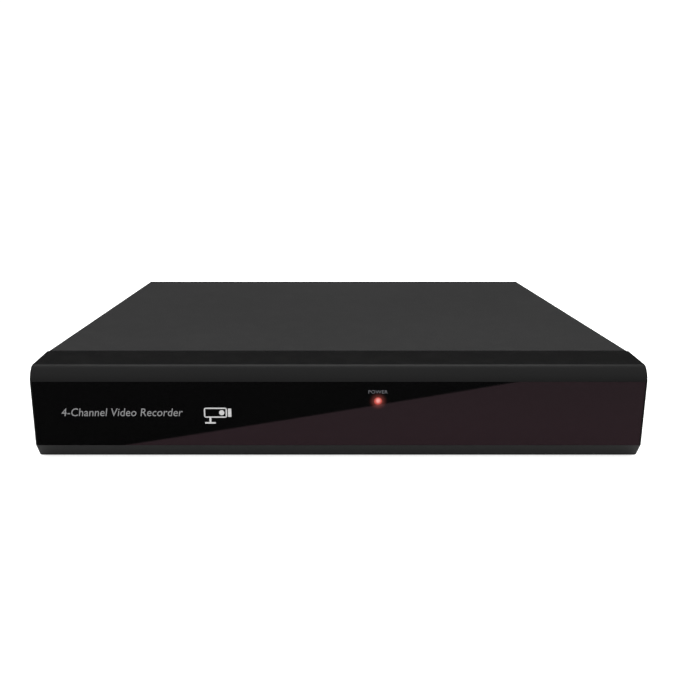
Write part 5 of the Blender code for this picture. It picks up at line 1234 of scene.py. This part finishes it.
seam = 0.00001
recess_ease = 0.00002
window_end = panel_high.x - 0.0010
window_seat = window_rear + 0.0003
cavity_front = window_seat + panel_wall
cavity = block(
    "cavity_core", (panel_low.x + panel_wall, cavity_front, panel_low.z + panel_wall),
    (panel_high.x - panel_wall, cover_low.y + panel_wall, roll_top - panel_wall),
)
cut_with(panel, [cavity])
hook_wide, hook_thick, hook_barb = 0.008, 0.0016, 0.0008
hook_root = cover_low.y - 0.0063
hook_catch = tray_low.y + 0.0013
hook_tip = panel_high.y
tray_floor = tray_low.z + 0.001
clear = 0.001


def snap_hook(middle_x, wall, near_side):
    """A hook on a wall of the panel: a root, an arm through the tray's front wall, and a barb
    behind it. near_side is the level of the arm's side that faces the panel's wall."""
    inward = -1 if wall > near_side else 1
    far_side = near_side + inward * hook_thick
    barb = far_side + inward * hook_barb
    left, right = middle_x - hook_wide / 2, middle_x + hook_wide / 2
    hook = block("snap_hook", (left, hook_root, min(wall, barb)), (right, hook_tip, max(wall, barb)))
    over_low, over_high = sorted((near_side, wall - inward * clear))
    under_low, under_high = sorted((far_side, barb + inward * clear))
    cut_with(hook, [
        block("over_arm", (left - clear, hook_root + 2 * hook_thick, over_low),
              (right + clear, hook_tip + clear, over_high)),
        block("under_arm", (left - clear, hook_root - clear, under_low),
              (right + clear, hook_catch, under_high)),
    ])
    start, end = Vector((0, hook_catch, barb)), Vector((0, hook_tip, far_side))
    run = end - start
    bpy.ops.object.mode_set(mode="EDIT")
    bpy.ops.mesh.select_all(action="SELECT")
    bpy.ops.mesh.bisect(
        plane_co=start, plane_no=inward * Vector((0, -run.z, run.y)), use_fill=True,
        clear_outer=True, threshold=0.0000001,
    )
    bpy.ops.object.mode_set(mode="OBJECT")
    return hook


lens_middle = middle_of_node("power_lens")
light_board_low, light_board_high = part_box("light_board")
stake_radius, stake_pin = 0.0022, 0.0011
post_front = light_board_low.y - 0.0003
post_rear = light_board_high.y + 0.0003
inner = []
hook_spacing = 0.090
light_post_offset = 0.023
for hook_x in (-hook_spacing, 0.0, hook_spacing):
    inner.append(snap_hook(
        hook_x, roll_top - panel_wall * 0.75, roll_top - panel_wall - hook_thick
    ))
    inner.append(snap_hook(hook_x, panel_low.z + panel_wall * 0.75, tray_floor + hook_thick))
for side in (-1, 1):
    post_rings = [
        (stake_radius, cavity_front - panel_wall / 2), (stake_radius, post_front),
        (stake_pin, post_front), (stake_pin, post_rear), (stake_radius, post_rear),
        (stake_radius * 0.7, post_rear + stake_pin),
    ]
    post_place = (lens_middle.x + side * light_post_offset, 0, lens_middle.z)
    inner.append(turned("light_post", post_rings, post_place, sides=24))
cut_with(panel, inner, operation="UNION")
recess = block(
    "window_core", (-window_end, panel_low.y - panel_wall, face_bottom + recess_ease),
    (window_end, window_seat, face_top - recess_ease),
)
cut_with(panel, [recess])
receiver_middle = middle_of_node("remote_receiver")
lens_radius = 0.0016
lens_place = (lens_middle.x, panel_low.y, lens_middle.z)
light_hole = turned(
    "light_hole", [(lens_radius + 0.0003, window_seat - panel_low.y - panel_wall / 2),
                   (lens_radius + 0.0003, 0.006)], lens_place, sides=32,
)
receiver_hole = block(
    "receiver_hole", (receiver_middle.x - 0.0045, window_seat - 0.001, receiver_middle.z - 0.0045),
    (receiver_middle.x + 0.0045, cavity_front + 0.001, receiver_middle.z + 0.0045),
)
cut_with(panel, [light_hole, receiver_hole])
panel.data.materials.append(satin_black)
smooth(panel, 25)
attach(panel, "recorder")
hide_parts("front_panel")

# ------------------------------------------------------------------ front window
# A 2 mm plate of smoked acrylic, polished in front. It is screen printed on its rear face in
# black, and below a long rising sweep in dark plum, and taped into the panel's recess.
window_setback = 0.00006
window_plastic, window_tree, window_shader = plain_shader("smoked_acrylic", 0.10, specular=0.4)
window_place = window_tree.nodes.new("ShaderNodeTexCoord").outputs["Object"]
window_axes = window_tree.nodes.new("ShaderNodeSeparateXYZ")
link(window_tree, window_place, window_axes.inputs["Vector"])
sweep_start_x, sweep_start_z = -0.092, 0.006
sweep_rise = 0.163
sweep_curve = 0.04
along = math_node(window_tree, "SUBTRACT", window_axes.outputs["X"], sweep_start_x)
straight = math_node(window_tree, "MULTIPLY", along, sweep_rise)
bowed = math_node(
    window_tree, "MULTIPLY", math_node(window_tree, "MULTIPLY", along, along), sweep_curve
)
sweep = math_node(window_tree, "ADD", math_node(window_tree, "ADD", straight, bowed), sweep_start_z)
below = math_node(window_tree, "SUBTRACT", sweep, window_axes.outputs["Z"])
plum_share = ranged(window_tree, below, -0.0004, 0.0004, 0.0, 1.0)
depth_share = ranged(window_tree, window_axes.outputs["Z"], 0.006, 0.030, 0.0, 1.0)
plum = mixed_colour(window_tree, depth_share, (0.0228, 0.0136, 0.0164), (0.0194, 0.0123, 0.0145))
ink = mixed_colour(window_tree, plum_share, (0.0018, 0.0018, 0.0019), plum)
link(window_tree, ink, window_shader.inputs["Base Color"])
smears = noise(window_tree, window_place, 35.0, 5.0)
window_rough = ranged(window_tree, smears, 0.35, 0.75, 0.07, 0.15)
link(window_tree, window_rough, window_shader.inputs["Roughness"])
# Painted light: the window gives off a red glow round the power light, a painted glow that stands in
# for the light's spill into the plate.
painted_glow_distance = window_tree.nodes.new("ShaderNodeVectorMath")
painted_glow_distance.operation = "DISTANCE"
painted_glow_distance.inputs[1].default_value = lens_place
link(window_tree, window_place, painted_glow_distance.inputs[0])
painted_glow = ranged(window_tree, painted_glow_distance.outputs["Value"], lens_radius, 0.0042, 1.0, 0.0)
painted_glow = math_node(window_tree, "POWER", painted_glow, 2.2)
painted_glow_colour = mixed_colour(window_tree, painted_glow, (0.0, 0.0, 0.0), (0.15, 0.034, 0.028))
link(window_tree, painted_glow_colour, window_shader.inputs["Emission Color"])
window_shader.inputs["Emission Strength"].default_value = 1.0

window_face = panel_low.y + window_setback
window = block(
    "smoked_window", (seam - window_end, window_face, face_bottom + recess_ease + seam),
    (window_end - seam, window_rear, face_top - recess_ease - seam),
)
lens_cut = turned(
    "lens_cut", [(lens_radius + 0.00005, -0.001), (lens_radius + 0.00005, 0.003)],
    lens_place, sides=48,
)
cut_with(window, [lens_cut])
rounded(window, 0.00003, segments=1, angle=60)
window.data.materials.append(window_plastic)
smooth(window, 30)
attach(window, "recorder")
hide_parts("front_window")

# ------------------------------------------------------------------ power light
# A clear red light pipe with a domed tip and a flange behind the panel, lit by a lamp on the
# small board. Its middle burns out to a pale pink while the recorder is on.
lit_red, lit_tree, lit_shader = plain_shader("lit_red_lens", 0.18, specular=0.5)
lit_place = lit_tree.nodes.new("ShaderNodeTexCoord").outputs["Object"]
lit_distance = lit_tree.nodes.new("ShaderNodeVectorMath")
lit_distance.operation = "DISTANCE"
lit_distance.inputs[1].default_value = (lens_middle.x, panel_low.y, lens_middle.z + 0.0002)
link(lit_tree, lit_place, lit_distance.inputs[0])
core = ranged(lit_tree, lit_distance.outputs["Value"], 0.0004, 0.0013, 1.0, 0.0)
lit_colour = mixed_colour(lit_tree, core, (0.50, 0.075, 0.060), (0.95, 0.44, 0.40))
rib = noise(lit_tree, lit_place, 1400.0, 2.0)
lit_colour = mixed_colour(
    lit_tree, ranged(lit_tree, rib, 0.4, 0.7, 0.0, 0.25), lit_colour, (0.62, 0.13, 0.10)
)
link(lit_tree, lit_colour, lit_shader.inputs["Emission Color"])
lit_shader.inputs["Emission Strength"].default_value = 0.9
lens_tone = mixed_colour(lit_tree, rib, (0.10, 0.006, 0.005), (0.16, 0.010, 0.008))
link(lit_tree, lens_tone, lit_shader.inputs["Base Color"])
lens_low, lens_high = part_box("power_lens")
lens_end = lens_high.y - lens_low.y
flange = cavity_front + 0.0003 - panel_low.y
lens_rings = (
    (lens_radius * 0.2, 0.0), (lens_radius * 0.5, 0.00006), (lens_radius * 0.8, 0.00022),
    (lens_radius * 0.94, 0.0004), (lens_radius, 0.0007), (lens_radius, flange),
    (0.0026, flange), (0.0026, flange + 0.001), (lens_radius, flange + 0.001),
    (lens_radius, lens_end - 0.0002), (lens_radius * 0.8, lens_end),
)
lens = turned("light_pipe", lens_rings, lens_place, sides=40)
lens.data.materials.append(lit_red)
smooth(lens, 40)
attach(lens, "recorder")
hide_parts("power_lens")
coat(lit_red, "power_led")

# ------------------------------------------------------------------ front printing
# Thin raised ink, screen printed on the window: a generic name of what the box does, a small
# outline of a camera beside it, and a label over the light.
def ink_material(name, tone):
    """Opaque printing ink with a slightly uneven film."""
    return surface(
        name, (tone, tuple(part * 0.86 for part in tone)), (0.45, 0.6),
        (1200.0, 0.00001), patch_scale=900.0, specular=0.3,
    )


grey_ink = ink_material("grey_ink", (0.15, 0.15, 0.165))
pale_ink = ink_material("pale_grey_ink", (0.27, 0.27, 0.275))
white_ink = ink_material("white_ink", (0.62, 0.62, 0.62))
ink_film = 0.00004
slant = 0.18


def printed(name, words, middle_x, middle_z, width, cap, ink, face_y, facing=-1, lean=0.0):
    """Printed words of a width and a capital height, flat on a wall that faces -Y or +Y."""
    deselect_everything()
    bpy.ops.object.text_add()
    text = bpy.context.object
    text.name = name
    text.data.body = words
    text.data.shear = lean
    text.data.extrude = ink_film / 2
    text.data.resolution_u = 3
    text.data.space_character = 1.02
    bpy.ops.object.convert(target="MESH")
    text = bpy.context.object
    merged(text)
    corners = [vertex.co.copy() for vertex in text.data.vertices]
    left, right = min(c.x for c in corners), max(c.x for c in corners)
    capital = 0.729
    scale = Matrix.Diagonal((width / (right - left), cap / capital, 1, 1))
    centre = Matrix.Translation((-(left + right) / 2, -capital / 2, 0))
    stand = Matrix.Rotation(math.pi / 2, 4, "X")
    if facing > 0:
        stand = Matrix.Rotation(math.pi, 4, "Z") @ stand
    lift = face_y + facing * ink_film / 2
    text.data.transform(Matrix.Translation((middle_x, lift, middle_z)) @ stand @ scale @ centre)
    text.data.update()
    text.data.materials.append(ink)
    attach(text, "recorder")
    return text


name_line = printed(
    "printed_description", "4-Channel Video Recorder", -0.0900, 0.0211, 0.0505, 0.0036,
    pale_ink, window_face, lean=slant,
)
light_label = printed(
    "printed_light_label", "POWER", lens_middle.x - 0.0001, 0.0299, 0.0080, 0.0015,
    grey_ink, window_face,
)


def ink_patch(name, outline, depth_low, depth_high):
    """A flat printed shape: a rectangle whose corners are given as left, low, right, high."""
    left, low, right, high = outline
    return block(name, (left, depth_low, low), (right, depth_high, high))


# The pictogram is a camera on a bracket: an outlined body, a hood, a lens and a wall arm.
icon_left, icon_low = -0.0560, 0.0186
body_wide, body_high = 0.0096, 0.0044
line = 0.00055
film_low, film_high = window_face - ink_film, window_face
body = block(
    "camera_body", (icon_left, film_low, icon_low),
    (icon_left + body_wide, film_high, icon_low + body_high),
)
rounded_along(body, 1, 0.0009, 4)
window_of_body = block(
    "camera_body_inside", (icon_left + line, film_low - 0.001, icon_low + line),
    (icon_left + body_wide - line, film_high + 0.001, icon_low + body_high - line),
)
cut_with(body, [window_of_body])
eye_place = (icon_left + body_wide - 0.0022, film_high, icon_low + body_high / 2)
eye = turned("camera_eye", [(0.0011, 0.0), (0.0011, -ink_film)], eye_place, sides=28)
hood = ink_patch(
    "camera_hood",
    (icon_left + body_wide + 0.0004, icon_low + 0.0004,
     icon_left + body_wide + 0.0018, icon_low + body_high - 0.0004),
    film_low, film_high,
)
arm = ink_patch(
    "camera_arm", (icon_left + 0.0022, icon_low - 0.0019, icon_left + 0.0030, icon_low),
    film_low, film_high,
)
foot_plate = ink_patch(
    "camera_foot",
    (icon_left + 0.0004, icon_low - 0.0026, icon_left + 0.0048, icon_low - 0.0019),
    film_low, film_high,
)
pictogram = joined([body, eye, hood, arm, foot_plate])
pictogram.name = "printed_camera_outline"
place_piece(pictogram, white_ink, "window_plastic")

# ------------------------------------------------------------------ rear printing
# Generic legends in black ink on the zinc wall: a number under each video input, and the way
# that sound goes beside the two sound jacks.
black_ink = ink_material("black_ink", (0.012, 0.012, 0.013))
legend_cap = 0.0020
legend_drop = 0.0105
for number in (1, 2, 3, 4):
    nut_here = middle_of_node(f"video_jack_nut_{number}")
    legend = printed(
        f"printed_input_{number}", str(number), nut_here.x, nut_here.z - legend_drop, 0.0012,
        legend_cap, black_ink, wall_y, facing=1,
    )
for words, level in (("IN", sound_axes[1]), ("OUT", sound_axes[0])):
    wide = 0.0011 * len(words)
    legend = printed(
        f"printed_sound_{words.lower()}", words, sound_x - 0.0064, level, wide, 0.0013,
        black_ink, wall_y, facing=1,
    )
